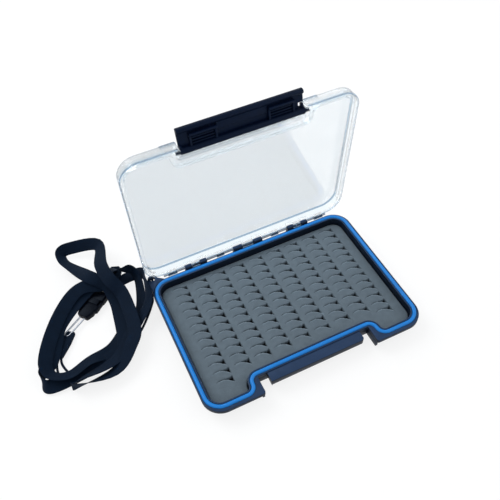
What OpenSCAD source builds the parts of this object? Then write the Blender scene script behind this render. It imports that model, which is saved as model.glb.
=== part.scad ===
// Slim waterproof fly box, drawn open: a shallow tray with a slit foam insert and a cord
// gasket, a clear domed lid on a steel hinge pin, and a front latch that hooks under a
// tongue on the tray. A woven strap lanyard is tied to an eye at the back left corner.
// Millimetres. The origin is the middle of the rim's rectangle, on the underside.
// +X runs along the hinge, +Y towards the hinge and +Z up. The lid and the latch are
// drawn closed and then turned open.

/* [Box] */
// Width of the box along the hinge
box_w = 150; // [136:1:180]
// Depth of the box from its front edge to its hinge edge
box_d = 106.5; // [98:0.5:124]
// Radius of the box's corners, seen from above
corner_r = 12.5; // [11:0.5:16]
// Height of the base from its underside to its rim
base_h = 11.5; // [11:0.5:16]
// Thickness of the tray's walls
tray_wall = 1.8; // [1.4:0.1:2.2]
// Thickness of the tray's floor
floor_t = 1.6; // [1.2:0.1:2.2]

/* [Rim and gasket] */
// Thickness of the rim flange
rim_t = 3; // [2.8:0.1:4]
// Diameter of the gasket cord
gasket_d = 2.6; // [2:0.1:2.7]
// From the rim's side edge to the gasket's centreline
gasket_side = 2.25; // [2.1:0.05:3]
// From the rim's back edge to the gasket's centreline
gasket_back = 1.9; // [1.9:0.05:3]
// From the rim's front edge to the gasket's centreline
gasket_front = 3.4; // [2.6:0.1:4]
// From the back of the latch notch to the gasket's centreline
gasket_notch = 2.35; // [2.1:0.05:3]
// Width of the latch notch in the rim
notch_w = 77.4; // [70:0.2:84]
// Depth of the latch notch from the rim's front edge
notch_depth = 11.75; // [11.5:0.05:13]

/* [Foam] */
// Thickness of the foam insert
foam_t = 5; // [3:0.5:7]
// Gap between the foam insert and the tray's walls
foam_gap = 0.4; // [0.3:0.1:0.8]
// Distance between neighbouring columns of slits
slit_pitch_x = 14.2; // [12:0.1:15]
// Distance between neighbouring rows of slits
slit_pitch_y = 6.36; // [5:0.02:6.6]
// Depth of each slit
slit_depth = 3; // [1:0.5:4]

/* [Hinge] */
// Diameter of the steel hinge pin
pin_d = 1.4; // [1:0.1:1.6]
// Length of the hinge pin
pin_len = 126; // [118:1:134]
// Diameter of the lugs on the base
lug_d = 3.6; // [3.2:0.1:4]
// Diameter of the knuckles on the lid
knuckle_d = 3; // [2.6:0.1:3]
// Radial clearance of the hinge pin in the knuckles
pin_gap = 0.08; // [0.05:0.01:0.1]
// Width of each of the two outer hinge blocks
side_block_w = 16; // [14:0.5:18]
// Width of the middle hinge block
mid_block_w = 22.2; // [20:0.2:26]
// From the middle of the box to the middle of an outer block
block_x = 39.5; // [36:0.5:44]

/* [Lid] */
// Height of the lid from its parting line to its top
lid_h = 7.5; // [6.5:0.1:12]
// Thickness of the lid's top plate
lid_plate = 1.6; // [1.2:0.1:2.2]
// Thickness of the lid's side walls
lid_wall = 2.8; // [2.4:0.1:3.4]
// Thickness of the lid's flange
lid_flange = 2.5; // [2:0.1:3]
// Gap between the closed lid and the rim
parting = 0.2; // [0.1:0.05:0.3]

/* [Latch] */
// Thickness of the latch plate
latch_t = 1.8; // [1.4:0.1:2]
// Length of the latch below its pivot
latch_drop = 13.1; // [12.3:0.1:13.3]
// Diameter of the latch's trunnions
trunnion_d = 2.4; // [2:0.1:2.8]
// Radial clearance of the trunnions in their sockets
trunnion_gap = 0.08; // [0.05:0.01:0.1]
// Width of the tongue that the latch hooks under
tongue_w = 65; // [60:1:68]
// Gap between the latch's hooks and the underside of the tongue
hook_gap = 0.3; // [0.2:0.05:0.5]

/* [Lanyard] */
// Width of the woven strap
strap_w = 9; // [7:0.5:10]
// Thickness of the woven strap
strap_t = 0.5; // [0.4:0.1:0.6]
// Diameter of the thin cord through the eye
cord_d = 1.6; // [1.2:0.1:2]
// Diameter of the hole in the lanyard eye
eye_d = 3.4; // [3:0.1:4]

/* [Hidden] */
arc_n = 7;

// Places in the rim and the gasket
half_w = box_w / 2;
half_d = box_d / 2;
notch_x = notch_w / 2;
notch_y = -half_d + notch_depth;
gasket_r = gasket_d / 2;
gx = half_w - gasket_side;
gb = half_d - gasket_back;
gf = -half_d + gasket_front;
gn = notch_y + gasket_notch;
rim_edge_r = 1.5;
gasket_corner_r = corner_r - gasket_side + 0.25;
gasket_front_r = gasket_corner_r - 0.5;
gasket_in_r = 5.2;
gasket_out_r = gn - gf - gasket_in_r;
gnx = notch_x - 0.5;

// The groove in the rim and the channel in the lid that close on the gasket
groove_side_gap = 0.05;
groove_under_gap = 0.1;
groove_depth = 1.9;
groove_half = gasket_r + groove_side_gap;
gasket_z = base_h - groove_depth + groove_under_gap + gasket_r;
channel_side_gap = 0.3;
channel_top_gap = 0.35;
channel_half = gasket_r + channel_side_gap;
channel_z = gasket_z + gasket_r + channel_top_gap;
inner_lip = 1.2;
tray_inset = groove_half + inner_lip;
tray_out_inset = tray_inset - tray_wall;
skirt_t = 1.6;
skirt_z = 3.2;

// The tongue in the notch
tongue_top = base_h - 0.6;
tongue_t = 1.8;
tongue_reach = 6.5;
tongue_y = notch_y - tongue_reach;
tongue_lip = 4.7;
tongue_r = 2;

// The hinge
hinge_y = half_d + 1.5;
hinge_z = base_h + 0.58;
bar_drop = 1.95;
bar_h = 5.1;
bar_top = hinge_z - bar_drop;
side_lug_w = 5;
mid_lug_w = 6.8;
lug_side_gap = 0.3;
lug_relief = 0.5;
outer_knuckle_x = 56.8;
outer_knuckle_w = 6.6;
inner_knuckle_x = 21.1;
inner_knuckle_w = 5.6;
hinge_blocks = [
  [-block_x, side_block_w, side_lug_w],
  [0, mid_block_w, mid_lug_w],
  [block_x, side_block_w, side_lug_w]
];

// The lid stands on the heels of its knuckles, which land on the bars of the blocks
lid_open = 86;
heel_y = 1.64;
heel_gap = 0.06;
heel_z = -bar_drop + heel_gap;
heel = [
  heel_y * cos(lid_open) - heel_z * sin(lid_open),
  heel_y * sin(lid_open) + heel_z * cos(lid_open)
];

// The lid
lid_z = base_h + parting;
lid_top = lid_z + lid_h;
flange_top = lid_z + lid_flange;
shell_step = 0.3;
shell_reach = 3.3;
lid_inset = lid_wall + shell_step - gasket_side;
latch_wall_y = notch_y - 5.3;
latch_wall_t = 1.6;
latch_wall_top = lid_top - 1.4;
cheek_x = 48.9;
cheek_top = lid_top - 0.15;
cheek_back = latch_wall_y + 2.8;

// The latch, whose hook bars pass under the tongue's lip
latch_y = latch_wall_y - 2.4;
latch_z = lid_z + 1.9;
latch_open = 105;
latch_side_gap = 0.4;
latch_half = notch_x - latch_side_gap;
barrel_r = 1.9;
head_half = 1.6;
plate_out = 2.9;
plate_in = plate_out - latch_t;
trunnion_reach = 2.7;
socket_end_gap = 0.3;
hook_top = latch_z - (tongue_top - tongue_lip) + hook_gap;
hook_t = 1.4;
hook_in = 2.4;
frame_in = 0.9;
root = 0.1;
frame_x0 = 15.5;
frame_x1 = tongue_w / 2 - 0.5;
frame_top = 0.9;
frame_wall = 1.3;
rib_t = 0.8;
rib_in = 1.2;
rib_count = 3;
panel_x = frame_x0;
panel_top = 6;
panel_t = 1.1;
lip_h = 3;
lip_back = 0.9;
relief_x = 3.4;
relief_w = 1.8;
relief_low = 5.2;
relief_h = 2.9;
relief_slot = 1.1;

// The foam's slits: a three-cornered hole with a thin cut that trails to the left
slit_cols = 9;
slit_rows = 13;
slit_x0 = 5.2 - 4 * slit_pitch_x;
slit_y0 = 4.3 + 6 * slit_pitch_y;
slit_shape = [[0, -2.2], [0, 1.6], [-2.6, 0.95], [-10.5, 2.1], [-2.8, 0.55]];

// The lanyard eye
eye_x = -half_w + 4.2;
eye_y = half_d + 3.35;
eye_r = 3.4;
eye_wall_z = base_h - rim_t;

// The strap's route from the buckle and back to it: x, y, z and its roll from lying flat
strap_route = [
  [-103, 70.4, 1.6, 0], [-83, 74.5, 0.9, 6], [-75, 68.5, 6.2, 56], [-76, 57, 12.9, 78],
  [-79.5, 41, 10.3, 39], [-96, 27, 6.6, 9], [-112, 12, 5.5, 17], [-137, 7, 7.5, 55],
  [-140, 5, 5.8, 98], [-115, 4, 5.7, 159], [-100.5, 15, 9.2, 177], [-94, 27, 9.5, 170],
  [-93, 53.5, 12, 164], [-97.5, 65, 17.9, 170], [-99, 79.5, 18.1, 174], [-96, 104.5, 10.9, 142],
  [-115, 114, 6.9, 133], [-122, 113.5, 5.4, 133], [-122, 104.5, 6, 144], [-117.5, 93.5, 8.8, 160],
  [-110.5, 77.5, 14.4, 200], [-102, 67, 12.8, 230], [-99, 57, 7.3, 195], [-99.5, 46, 4.3, 183],
  [-104, 21, 4.5, 182], [-113, 17, 2.9, 172], [-132.5, 13.5, 2.6, 183], [-151, 12.5, 3.5, 156],
  [-157, 14.5, 4.6, 127], [-157, 22, 5.2, 78], [-149.5, 28.5, 5.4, 32], [-143.5, 40.5, 6.3, 24],
  [-137, 52.5, 6.9, 20], [-119.5, 67, 7.1, 9], [-107.5, 73, 9.2, 34], [-97, 74.5, 14.8, 151],
  [-87, 74.5, 10.6, 112], [-81, 74, 7.2, 74], [-79.5, 65, 4.2, 52], [-85, 45, 2.6, 30],
  [-95, 38, 1.7, 14], [-108, 26.5, 1.1, 10], [-115.5, 22, 1, -6], [-127.5, 18, 6.3, 21],
  [-140, 14.5, 5.6, 24], [-148.5, 16, 6.8, 34], [-152.5, 20.5, 7.2, 34], [-152.5, 28, 8.6, 34],
  [-146, 42, 9.3, 30], [-135.5, 57.5, 9.7, 28], [-123.5, 69.5, 10, 18], [-113.5, 72, 10.7, 23],
  [-101.5, 69.5, 9.4, 54], [-92.5, 82.5, 4.4, 157], [-92.5, 79, 2.1, 193], [-103, 70.4, 3.8, 180]
];

// The thin cord's two strands, from the middle of the eye's hole to the sleeve: x, y, z
upper_route = [
  [-71.2, 56.2, 10], [-71.2, 56.2, 12.4], [-73.5, 55.4, 13], [-76, 53, 10.5], [-77, 49.5, 4.5],
  [-79, 45, 1], [-88, 34.5, 0.9], [-98, 25, 0.9], [-110, 17, 0.9], [-124, 14.5, 0.9], [-137, 15, 0.9],
  [-142, 19.5, 0.9], [-144.2, 26.5, 1], [-143.6, 31.4, 1.5], [-142.6, 32.9, 1.6]
];
lower_route = [
  [-71.2, 56.2, 10], [-71.2, 56.2, 7.4], [-73, 54, 4], [-75, 49.5, 1.6], [-77, 45, 0.9],
  [-86.5, 32.5, 0.9], [-97, 22.5, 0.9], [-109.5, 14, 0.9], [-124, 11.5, 0.9], [-138, 12, 0.9],
  [-145.5, 15, 0.9], [-148, 21, 0.9], [-147.3, 28, 1], [-145, 32.4, 1.5], [-144, 33.8, 1.6]
];

// The buckle, the wire link and the sleeve between the strap and the thin cord
buckle_at = [-102.5, 70.8, 0];
buckle_turn = 218.7;
buckle_w = 13;
buckle_h = 5.4;
body_len = 15;
tongue_len = 11;
slot_x = 2;
slot_len = 2.4;
slot_wall = 1.6;
body_cut = 1;
window_x = 10.8;
prong_gap = 0.3;
prong_w = 2.1;
prong_drop = 1.2;
shoulder_x = 3.5;
waist_x = 4.5;
waist_cut = 1.2;
flare_x = 6;
flare_cut = 0.8;
nose_half = 4;
link_at = [-122.4, 54.8, 2.6];
link_turn = 214;
link_wire = 1.2;
link_half = 1.6;
cord_side = [0, 1, 0];
link_in = 2.5;
link_len = 12.8;
sleeve_at = [-133, 47.4, 0];
sleeve_turn = 233.8;
sleeve_len = 19;
sleeve_h = 3.2;
sleeve_half = 3.5;
sleeve_end_half = 2;
sleeve_cut_x = 0.8;
sleeve_cut = 0.5;
sleeve_straight = 7;

function arc(cx, cy, r, a0, a1) = [
  for (k = [0:arc_n]) let(a = a0 + (a1 - a0) * k / arc_n) [cx + r * cos(a), cy + r * sin(a)]
];
function after_first(pts) = [for (k = [1:len(pts) - 1]) pts[k]];
function mirrored(pts) = [for (k = [len(pts) - 1:-1:0]) [-pts[k][0], pts[k][1]]];

// The right side of the outline at a distance i inside the gasket's centreline, first
// without the notch and then with it
function side_arcs(i) = concat(
  arc(gx - gasket_front_r, gf + gasket_front_r, gasket_front_r - i, 270, 360),
  arc(gx - gasket_corner_r, gb - gasket_corner_r, gasket_corner_r - i, 0, 90)
);
function pocket_half(i) = concat(
  arc(gnx, gn - gasket_in_r, gasket_in_r + i, 90, 0),
  after_first(
    arc(gnx + gasket_in_r + gasket_out_r, gf + gasket_out_r, gasket_out_r - i, 180, 270)
  ),
  side_arcs(i)
);
function unnotched(i) = concat(side_arcs(i), mirrored(side_arcs(i)));
function pocket(i) = concat(pocket_half(i), mirrored(pocket_half(i)));

// The right half of the rim's outline, with its notch back at y
function rim_half(y) = concat(
  [[notch_x, y]],
  arc(notch_x + rim_edge_r, -half_d + rim_edge_r, rim_edge_r, 180, 270),
  arc(half_w - corner_r, -half_d + corner_r, corner_r, 270, 360),
  arc(half_w - corner_r, half_d - corner_r, corner_r, 0, 90)
);
function rim(y) = concat(rim_half(y), mirrored(rim_half(y)));

// The rim's outline without its notch, at a distance i inside its edge
function plain_half(i) = concat(
  arc(half_w - corner_r, -half_d + corner_r, corner_r - i, 270, 360),
  arc(half_w - corner_r, half_d - corner_r, corner_r - i, 0, 90)
);
function plain(i) = concat(plain_half(i), mirrored(plain_half(i)));

// Skins a stack of outlines that have the same number of points
module skin(outlines, heights) {
  n = len(outlines[0]);
  m = len(outlines);
  points = [for (j = [0:m - 1]) for (p = outlines[j]) [p[0], p[1], heights[j]]];
  sides = [
    for (j = [0:m - 2]) for (k = [0:n - 1]) let(a = j * n + k, b = j * n + (k + 1) % n)
      each [[a, a + n, b + n], [a, b + n, b]]
  ];
  polyhedron(points, concat([[for (k = [0:n - 1]) k]], sides,
    [[for (k = [n - 1:-1:0]) (m - 1) * n + k]]));
}

// Sweeps the sections, one ring of points for each step, into a closed tube
module sweep(rings) {
  n = len(rings[0]);
  m = len(rings);
  sides = [
    for (j = [0:m - 2]) for (k = [0:n - 1]) let(a = j * n + k, b = j * n + (k + 1) % n)
      each k < n / 2 ? [[a, b, b + n], [a, b + n, a + n]] : [[a, b, a + n], [b, b + n, a + n]]
  ];
  polyhedron([for (r = rings) each r], concat([[for (k = [n - 1:-1:0]) k]], sides,
    [[for (k = [0:n - 1]) (m - 1) * n + k]]));
}

function unit(v) = v / norm(v);
function place(p) = [p[0], p[1], p[2]];
function heading(pts, k) = unit(place(pts[min(k + 1, len(pts) - 1)]) - place(pts[max(k - 1, 0)]));
function level_left(t) = unit([-t[1], t[0], 0]);

// The strap's section is a flat bar with its corners cut
function strap_ring(pts, k) = let(
  t = heading(pts, k),
  h = level_left(t),
  w = h * cos(pts[k][3]) + [0, 0, sin(pts[k][3])],
  n = unit(cross(t, w)),
  a = strap_w / 2,
  b = strap_t / 2,
  c = strap_t / 3,
  section = [[a, c - b], [a, b - c], [a - c, b], [c - a, b], [-a, b - c], [-a, c - b],
    [c - a, -b], [a - c, -b]]
) [for (q = section) place(pts[k]) + w * q[0] + n * q[1]];

// A thin cord's ring stands square to the cord, on a left-hand direction that stays level
function cord_ring(pts, k) = let(
  t = heading(pts, k),
  flat = norm([t[0], t[1]]),
  h = flat > 0.2 ? level_left(t) : unit(cross(t, cord_side)),
  n = cross(t, h)
) [for (q = [0:7]) pts[k] + cord_d / 2 * (h * cos(45 * q) + n * sin(45 * q))];

module along_x(x0, x1) {
  translate([x0, 0, 0]) rotate([90, 0, 90]) linear_extrude(x1 - x0) children();
}

module rod_x(x0, x1, r) {
  translate([x0, 0, 0]) rotate([0, 90, 0]) cylinder(r = r, h = x1 - x0, $fn = 40);
}

module at_hinge() {
  translate([0, hinge_y, hinge_z]) children();
}

module lid_place() {
  at_hinge() rotate([-lid_open, 0, 0]) translate([0, -hinge_y, -hinge_z]) children();
}

module latch_place() {
  lid_place() translate([0, latch_y, latch_z]) rotate([-latch_open, 0, 0]) children();
}

// Base
module bowl() {
  insets = [for (d = [3, 1.45, 0.45, 0, -0.6]) tray_out_inset + d];
  intersection() {
    skin([for (i = insets) unnotched(i)], [0, 0.5, 1.5, 3.2, base_h]);
    linear_extrude(base_h - rim_t + 0.1) polygon(pocket(tray_out_inset));
  }
}

module notch_skirt() {
  translate([0, 0, skirt_z]) linear_extrude(base_h - rim_t - skirt_z + 0.1) difference() {
    translate([-notch_x - skirt_t, -half_d + rim_edge_r])
      square([notch_w + 2 * skirt_t, notch_depth - rim_edge_r + skirt_t]);
    translate([-notch_x, -half_d]) square([notch_w, notch_depth]);
  }
}

module tongue() {
  half = tongue_w / 2;
  translate([0, 0, tongue_top - tongue_t]) linear_extrude(tongue_t) tongue_outline(half);
  translate([0, 0, tongue_top - tongue_lip]) linear_extrude(tongue_lip) difference() {
    tongue_outline(half);
    translate([-half + tongue_t, tongue_y + tongue_t])
      square([tongue_w - 2 * tongue_t, tongue_reach]);
  }
}

module tongue_outline(half) {
  difference() {
    translate([-half, tongue_y]) square([tongue_w, tongue_reach + 0.5]);
    translate([half - tongue_r, tongue_y]) difference() {
      square([tongue_r + 1, tongue_r]);
      translate([0, tongue_r]) circle(r = tongue_r, $fn = 32);
    }
  }
}

module hinge_block(b) {
  x0 = b[0] - b[1] / 2;
  x1 = b[0] + b[1] / 2;
  lug_r = lug_d / 2;
  along_x(x0, x1) translate([half_d - 0.5, bar_top - bar_h])
    square([hinge_y + lug_r - half_d + 0.5, bar_h]);
  for (x = [x0, x1 - b[2]]) {
    along_x(x, x + b[2]) translate([hinge_y, hinge_z]) {
      circle(r = lug_r, $fn = 40);
      translate([-lug_r, -bar_drop - 0.5]) square([lug_d, bar_drop + 0.5]);
    }
  }
}

module eye_lug() {
  translate([0, 0, eye_wall_z]) linear_extrude(rim_t) {
    translate([eye_x, eye_y]) circle(r = eye_r, $fn = 48);
    polygon([
      [eye_x - eye_r, eye_y], [-half_w + 0.6, half_d - corner_r],
      [-half_w + corner_r, half_d - 0.6], [eye_x + eye_r, eye_y]
    ]);
  }
}

module base_tray() {
  color([0.12, 0.15, 0.2]) difference() {
    union() {
      bowl();
      translate([0, 0, base_h - rim_t]) linear_extrude(rim_t) polygon(rim(notch_y));
      notch_skirt();
      tongue();
      for (b = hinge_blocks) hinge_block(b);
      eye_lug();
    }
    translate([0, 0, floor_t]) linear_extrude(base_h) polygon(pocket(tray_inset));
    translate([0, 0, base_h - groove_depth]) linear_extrude(groove_depth + 1) difference() {
      polygon(pocket(-groove_half));
      polygon(pocket(groove_half));
    }
    at_hinge() rod_x(-half_w, half_w, pin_d / 2);
    translate([eye_x, eye_y, 0]) cylinder(d = eye_d, h = base_h + 1, $fn = 40);
  }
}

module gasket() {
  sides = 10;
  n = len(pocket(0));
  points = [
    for (k = [0:sides - 1]) let(a = 360 * k / sides)
      for (p = pocket(gasket_r * cos(a))) [p[0], p[1], gasket_z + gasket_r * sin(a)]
  ];
  faces = [
    for (k = [0:sides - 1]) for (m = [0:n - 1])
      let(a = k * n + m, b = k * n + (m + 1) % n, c = (k + 1) % sides * n)
        each [[a, b, c + (m + 1) % n], [a, c + (m + 1) % n, c + m]]
  ];
  color([0.12, 0.56, 0.9]) polyhedron(points, faces);
}

module foam_insert() {
  inset = tray_inset + foam_gap;
  color([0.33, 0.37, 0.42]) translate([0, 0, floor_t]) {
    linear_extrude(foam_t - slit_depth) polygon(pocket(inset));
    translate([0, 0, foam_t - slit_depth]) linear_extrude(slit_depth) difference() {
      polygon(pocket(inset));
      for (c = [0:slit_cols - 1]) {
        side_col = c == 0 || c == slit_cols - 1;
        for (r = [0:slit_rows - (side_col ? 1 : 2)]) {
          translate([slit_x0 + c * slit_pitch_x, slit_y0 - r * slit_pitch_y])
            polygon(slit_shape);
        }
      }
    }
  }
}

module hinge_pin() {
  color([0.45, 0.47, 0.5]) at_hinge() rod_x(-pin_len / 2, pin_len / 2, pin_d / 2);
}

// Lid, drawn closed
module shell() {
  outlines = [for (d = [0, 0, 0.2, 0.7, 1.7]) plain(shell_step + d)];
  heights = [for (d = [lid_h, 1.6, 0.8, 0.25, 0]) lid_top - d];
  intersection() {
    skin(outlines, heights);
    translate([0, 0, flange_top - 0.3]) linear_extrude(lid_h) polygon(pocket(-shell_reach));
  }
}

module knuckle(x0, w) {
  along_x(x0, x0 + w) translate([hinge_y, hinge_z]) {
    circle(d = knuckle_d, $fn = 40);
    polygon([[-2.4, -0.3], [0, -0.3], [heel[0] - 0.1, 0], heel, [0, 1.8], [-2.4, 1.8]]);
  }
}

// The two cheeks beside the latch carry its trunnions
module cheeks() {
  for (s = [-1, 1]) {
    translate([0, 0, lid_z]) linear_extrude(cheek_top - lid_z) intersection() {
      polygon(rim(latch_wall_y));
      translate([s > 0 ? notch_x : -cheek_x, -half_d])
        square([cheek_x - notch_x, cheek_back + half_d]);
    }
  }
}

module knuckles() {
  for (b = hinge_blocks) {
    gap_w = b[1] - 2 * b[2];
    knuckle(b[0] - gap_w / 2 + lug_side_gap, gap_w - 2 * lug_side_gap);
  }
  for (s = [-1, 1]) {
    knuckle(s * outer_knuckle_x - outer_knuckle_w / 2, outer_knuckle_w);
    knuckle(s * inner_knuckle_x - inner_knuckle_w / 2, inner_knuckle_w);
  }
}

module lug_reliefs() {
  for (b = hinge_blocks) {
    for (x = [b[0] - b[1] / 2, b[0] + b[1] / 2 - b[2]]) {
      translate([x - lug_side_gap, hinge_y - lug_d / 2 - lug_relief, lid_z - 1])
        cube([b[2] + 2 * lug_side_gap, lug_d, lid_flange + 2]);
    }
  }
}

module trunnion_sockets() {
  end = latch_half + trunnion_reach + socket_end_gap;
  translate([0, latch_y, latch_z]) {
    rod_x(notch_x - 1, end, trunnion_d / 2 + trunnion_gap);
    rod_x(-end, 1 - notch_x, trunnion_d / 2 + trunnion_gap);
  }
}

module lid_closed() {
  difference() {
    union() {
      translate([0, 0, lid_z]) linear_extrude(lid_flange)
        polygon(rim(latch_wall_y + 0.2));
      shell();
      cheeks();
      translate([-notch_x - 0.1, latch_wall_y, lid_z])
        cube([notch_w + 0.2, latch_wall_t, latch_wall_top - lid_z]);
      knuckles();
    }
    translate([0, 0, lid_z - 1]) linear_extrude(lid_h - lid_plate + 1)
      polygon(pocket(lid_inset));
    translate([0, 0, lid_z - 1]) linear_extrude(channel_z - lid_z + 1) difference() {
      polygon(pocket(-channel_half));
      polygon(pocket(channel_half));
    }
    lug_reliefs();
    trunnion_sockets();
    at_hinge() rod_x(-half_w, half_w, pin_d / 2 + pin_gap);
  }
}

module lid() {
  color([0.86, 0.92, 0.96, 0.4]) lid_place() lid_closed();
}

// Latch, drawn hanging from its pivot
module latch_frame(x0, x1) {
  low = -hook_top - hook_t;
  back = -plate_in - root;
  step = (hook_top - frame_top) / (rib_count + 1);
  for (x = [x0, x1 - frame_wall]) {
    along_x(x, x + frame_wall) translate([back, low])
      square([frame_in - back, -frame_top - low]);
  }
  along_x(x0, x1) translate([back, low]) square([hook_in - back, hook_t]);
  for (k = [1:rib_count]) {
    along_x(x0, x1) translate([back, -hook_top + k * step - rib_t / 2]) square([rib_in, rib_t]);
  }
}

module latch_hanging() {
  difference() {
    union() {
      along_x(-latch_half, latch_half) {
        circle(r = barrel_r, $fn = 40);
        translate([-plate_out, -latch_drop]) square([latch_t, latch_drop + head_half]);
        translate([-plate_out, -head_half]) square([plate_out, 2 * head_half]);
        translate([-plate_out, -latch_drop]) square([plate_out - lip_back, lip_h]);
        translate([-lip_back, -latch_drop + lip_h / 2]) circle(d = lip_h, $fn = 32);
      }
      along_x(-panel_x, panel_x) translate([-plate_in - root, -latch_drop + lip_h - root])
        square([panel_t, latch_drop - lip_h - panel_top]);
    }
    translate([latch_half - relief_x, -plate_out - 1, -relief_low]) {
      cube([relief_w, plate_out + 2, relief_h]);
      cube([relief_x + 1, plate_out + 2, relief_slot]);
    }
  }
  latch_frame(-frame_x1, -frame_x0);
  latch_frame(frame_x0, frame_x1);
  rod_x(-latch_half - trunnion_reach, latch_half + trunnion_reach, trunnion_d / 2);
}

module latch() {
  color([0.1, 0.14, 0.2]) latch_place() latch_hanging();
}

// Lanyard
module at_buckle() {
  translate(buckle_at) rotate([0, 0, buckle_turn]) children();
}

module strap() {
  color([0.08, 0.1, 0.13])
    sweep([for (k = [0:len(strap_route) - 1]) strap_ring(strap_route, k)]);
}

module buckle_body() {
  half = buckle_w / 2;
  color([0.07, 0.08, 0.1]) at_buckle() difference() {
    linear_extrude(buckle_h) polygon([
      [0, -half + body_cut], [body_cut, -half], [body_len, -half], [body_len, half],
      [body_cut, half], [0, half - body_cut]
    ]);
    translate([slot_x, -half + slot_wall, -1])
      cube([slot_len, buckle_w - 2 * slot_wall, buckle_h + 2]);
    for (s = [-1, 1]) {
      translate([window_x, s > 0 ? half - prong_w : -half - 1, -1])
        cube([body_len, prong_w + 1, buckle_h + 2]);
    }
  }
}

module buckle_tongue() {
  half = buckle_w / 2;
  color([0.07, 0.08, 0.1]) at_buckle() {
    translate([body_len, 0, prong_gap]) linear_extrude(buckle_h - 2 * prong_gap) polygon([
      [0, -half], [shoulder_x, -half], [waist_x, -half + waist_cut],
      [flare_x, -half + flare_cut], [tongue_len, -nose_half], [tongue_len, nose_half],
      [flare_x, half - flare_cut], [waist_x, half - waist_cut], [shoulder_x, half], [0, half]
    ]);
    for (s = [-1, 1]) {
      translate([window_x + prong_gap, s > 0 ? half - prong_w + prong_gap : -half, prong_drop])
        cube([body_len - window_x, prong_w - prong_gap, buckle_h - 2 * prong_drop]);
    }
  }
}

module wire_link() {
  color([0.75, 0.77, 0.8]) translate(link_at) rotate([0, 0, link_turn]) {
    for (s = [-1, 1]) {
      translate([-link_in, s * link_half, 0]) rotate([0, 90, 0])
        cylinder(d = link_wire, h = link_len + 2 * link_in, $fn = 24);
    }
    translate([-link_in, 0, 0]) rotate([0, 0, 90]) rotate_extrude(angle = 180, $fn = 32)
      translate([link_half, 0]) circle(d = link_wire, $fn = 24);
    translate([link_len + link_in, 0, 0]) rotate([0, 0, -90])
      rotate_extrude(angle = 180, $fn = 32)
        translate([link_half, 0]) circle(d = link_wire, $fn = 24);
  }
}

module sleeve() {
  color([0.07, 0.09, 0.12]) translate(sleeve_at) rotate([0, 0, sleeve_turn])
    linear_extrude(sleeve_h) polygon([
      [0, sleeve_cut - sleeve_half], [sleeve_cut_x, -sleeve_half],
      [sleeve_straight, -sleeve_half], [sleeve_len, -sleeve_end_half],
      [sleeve_len, sleeve_end_half], [sleeve_straight, sleeve_half],
      [sleeve_cut_x, sleeve_half], [0, sleeve_half - sleeve_cut]
    ]);
}

module thin_cord(route) {
  color([0.06, 0.07, 0.1]) sweep([for (k = [0:len(route) - 1]) cord_ring(route, k)]);
}

module cord_upper() {
  thin_cord(upper_route);
}

module cord_lower() {
  thin_cord(lower_route);
}

base_tray();
gasket();
foam_insert();
hinge_pin();
lid();
latch();
strap();
buckle_body();
buckle_tongue();
wire_link();
sleeve();
cord_upper();
cord_lower();
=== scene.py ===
"""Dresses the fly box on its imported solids: tray, gasket, foam, hinge, clear lid, latch and lanyard."""
import math

import bmesh
import bpy
import numpy as np
from bpy.props import FloatProperty, FloatVectorProperty, PointerProperty
from mathutils import Matrix, Vector


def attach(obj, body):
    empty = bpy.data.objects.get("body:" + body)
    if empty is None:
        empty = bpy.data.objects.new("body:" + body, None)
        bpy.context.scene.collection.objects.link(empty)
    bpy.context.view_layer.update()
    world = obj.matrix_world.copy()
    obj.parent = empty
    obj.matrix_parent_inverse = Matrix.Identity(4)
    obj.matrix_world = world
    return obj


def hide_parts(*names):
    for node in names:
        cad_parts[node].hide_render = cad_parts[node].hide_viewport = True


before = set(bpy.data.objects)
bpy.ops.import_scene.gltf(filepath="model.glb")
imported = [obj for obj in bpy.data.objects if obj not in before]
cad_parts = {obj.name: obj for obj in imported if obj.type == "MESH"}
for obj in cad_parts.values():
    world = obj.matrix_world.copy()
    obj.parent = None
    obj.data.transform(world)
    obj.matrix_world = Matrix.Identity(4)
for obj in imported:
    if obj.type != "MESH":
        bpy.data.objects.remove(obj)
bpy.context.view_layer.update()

bl_info = {
    "name": "Slim Fly Box",
    "version": (1, 0, 0),
    "blender": (4, 5, 0),
    "location": "View3D > Sidebar > Fly Box",
    "description": "Builds a slim waterproof fly box with slit foam, a clear lid and a strap lanyard",
    "category": "Add Mesh",
}

MM = 0.001
ARC_STEPS = 12

# How the box is put together, in millimetres and degrees, from the middle of its underside
GASKET_SIDE, GASKET_BACK, GASKET_FRONT, GASKET_NOTCH = 2.25, 1.9, 3.4, 2.35
NOTCH_W, NOTCH_DEPTH = 77.4, 11.75
GROOVE_DEPTH, GROOVE_GAP, CHANNEL_GAP = 1.9, 0.05, 0.3
INNER_LIP, TRAY_WALL, FLOOR_T, RIM_T = 1.2, 1.8, 1.6, 3.0
HINGE_Y_OUT, HINGE_Z_UP, BAR_DROP, BAR_H = 1.5, 0.58, 1.95, 5.1
LUG_R, KNUCKLE_R, PIN_R, PIN_LEN = 1.8, 1.5, 0.7, 126.0
LID_OPEN, LATCH_OPEN = 86.0, 105.0
HINGE_BLOCKS = ((-39.5, 16.0, 5.0), (0.0, 22.2, 6.8), (39.5, 16.0, 5.0))
LONE_KNUCKLES = ((-56.8, 6.6), (-21.1, 5.6), (21.1, 5.6), (56.8, 6.6))
TONGUE_W, TONGUE_REACH = 65.0, 6.5
LATCH_DROP, LATCH_T, LATCH_HALF, LATCH_OUT = 13.1, 1.8, 38.3, 2.9
LATCH_BACK, LATCH_UP, TRUNNION_R, SOCKET_R = 7.7, 2.1, 1.2, 1.28
LID_WALL, LID_LIFT, LID_FLANGE, CHANNEL_ROOF = 2.8, 0.2, 2.5, 0.95
LATCH_WALL_BACK, LATCH_WALL_T, CHEEK_X, CHEEK_R = 2.4, 1.6, 48.9, 4.95
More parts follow.
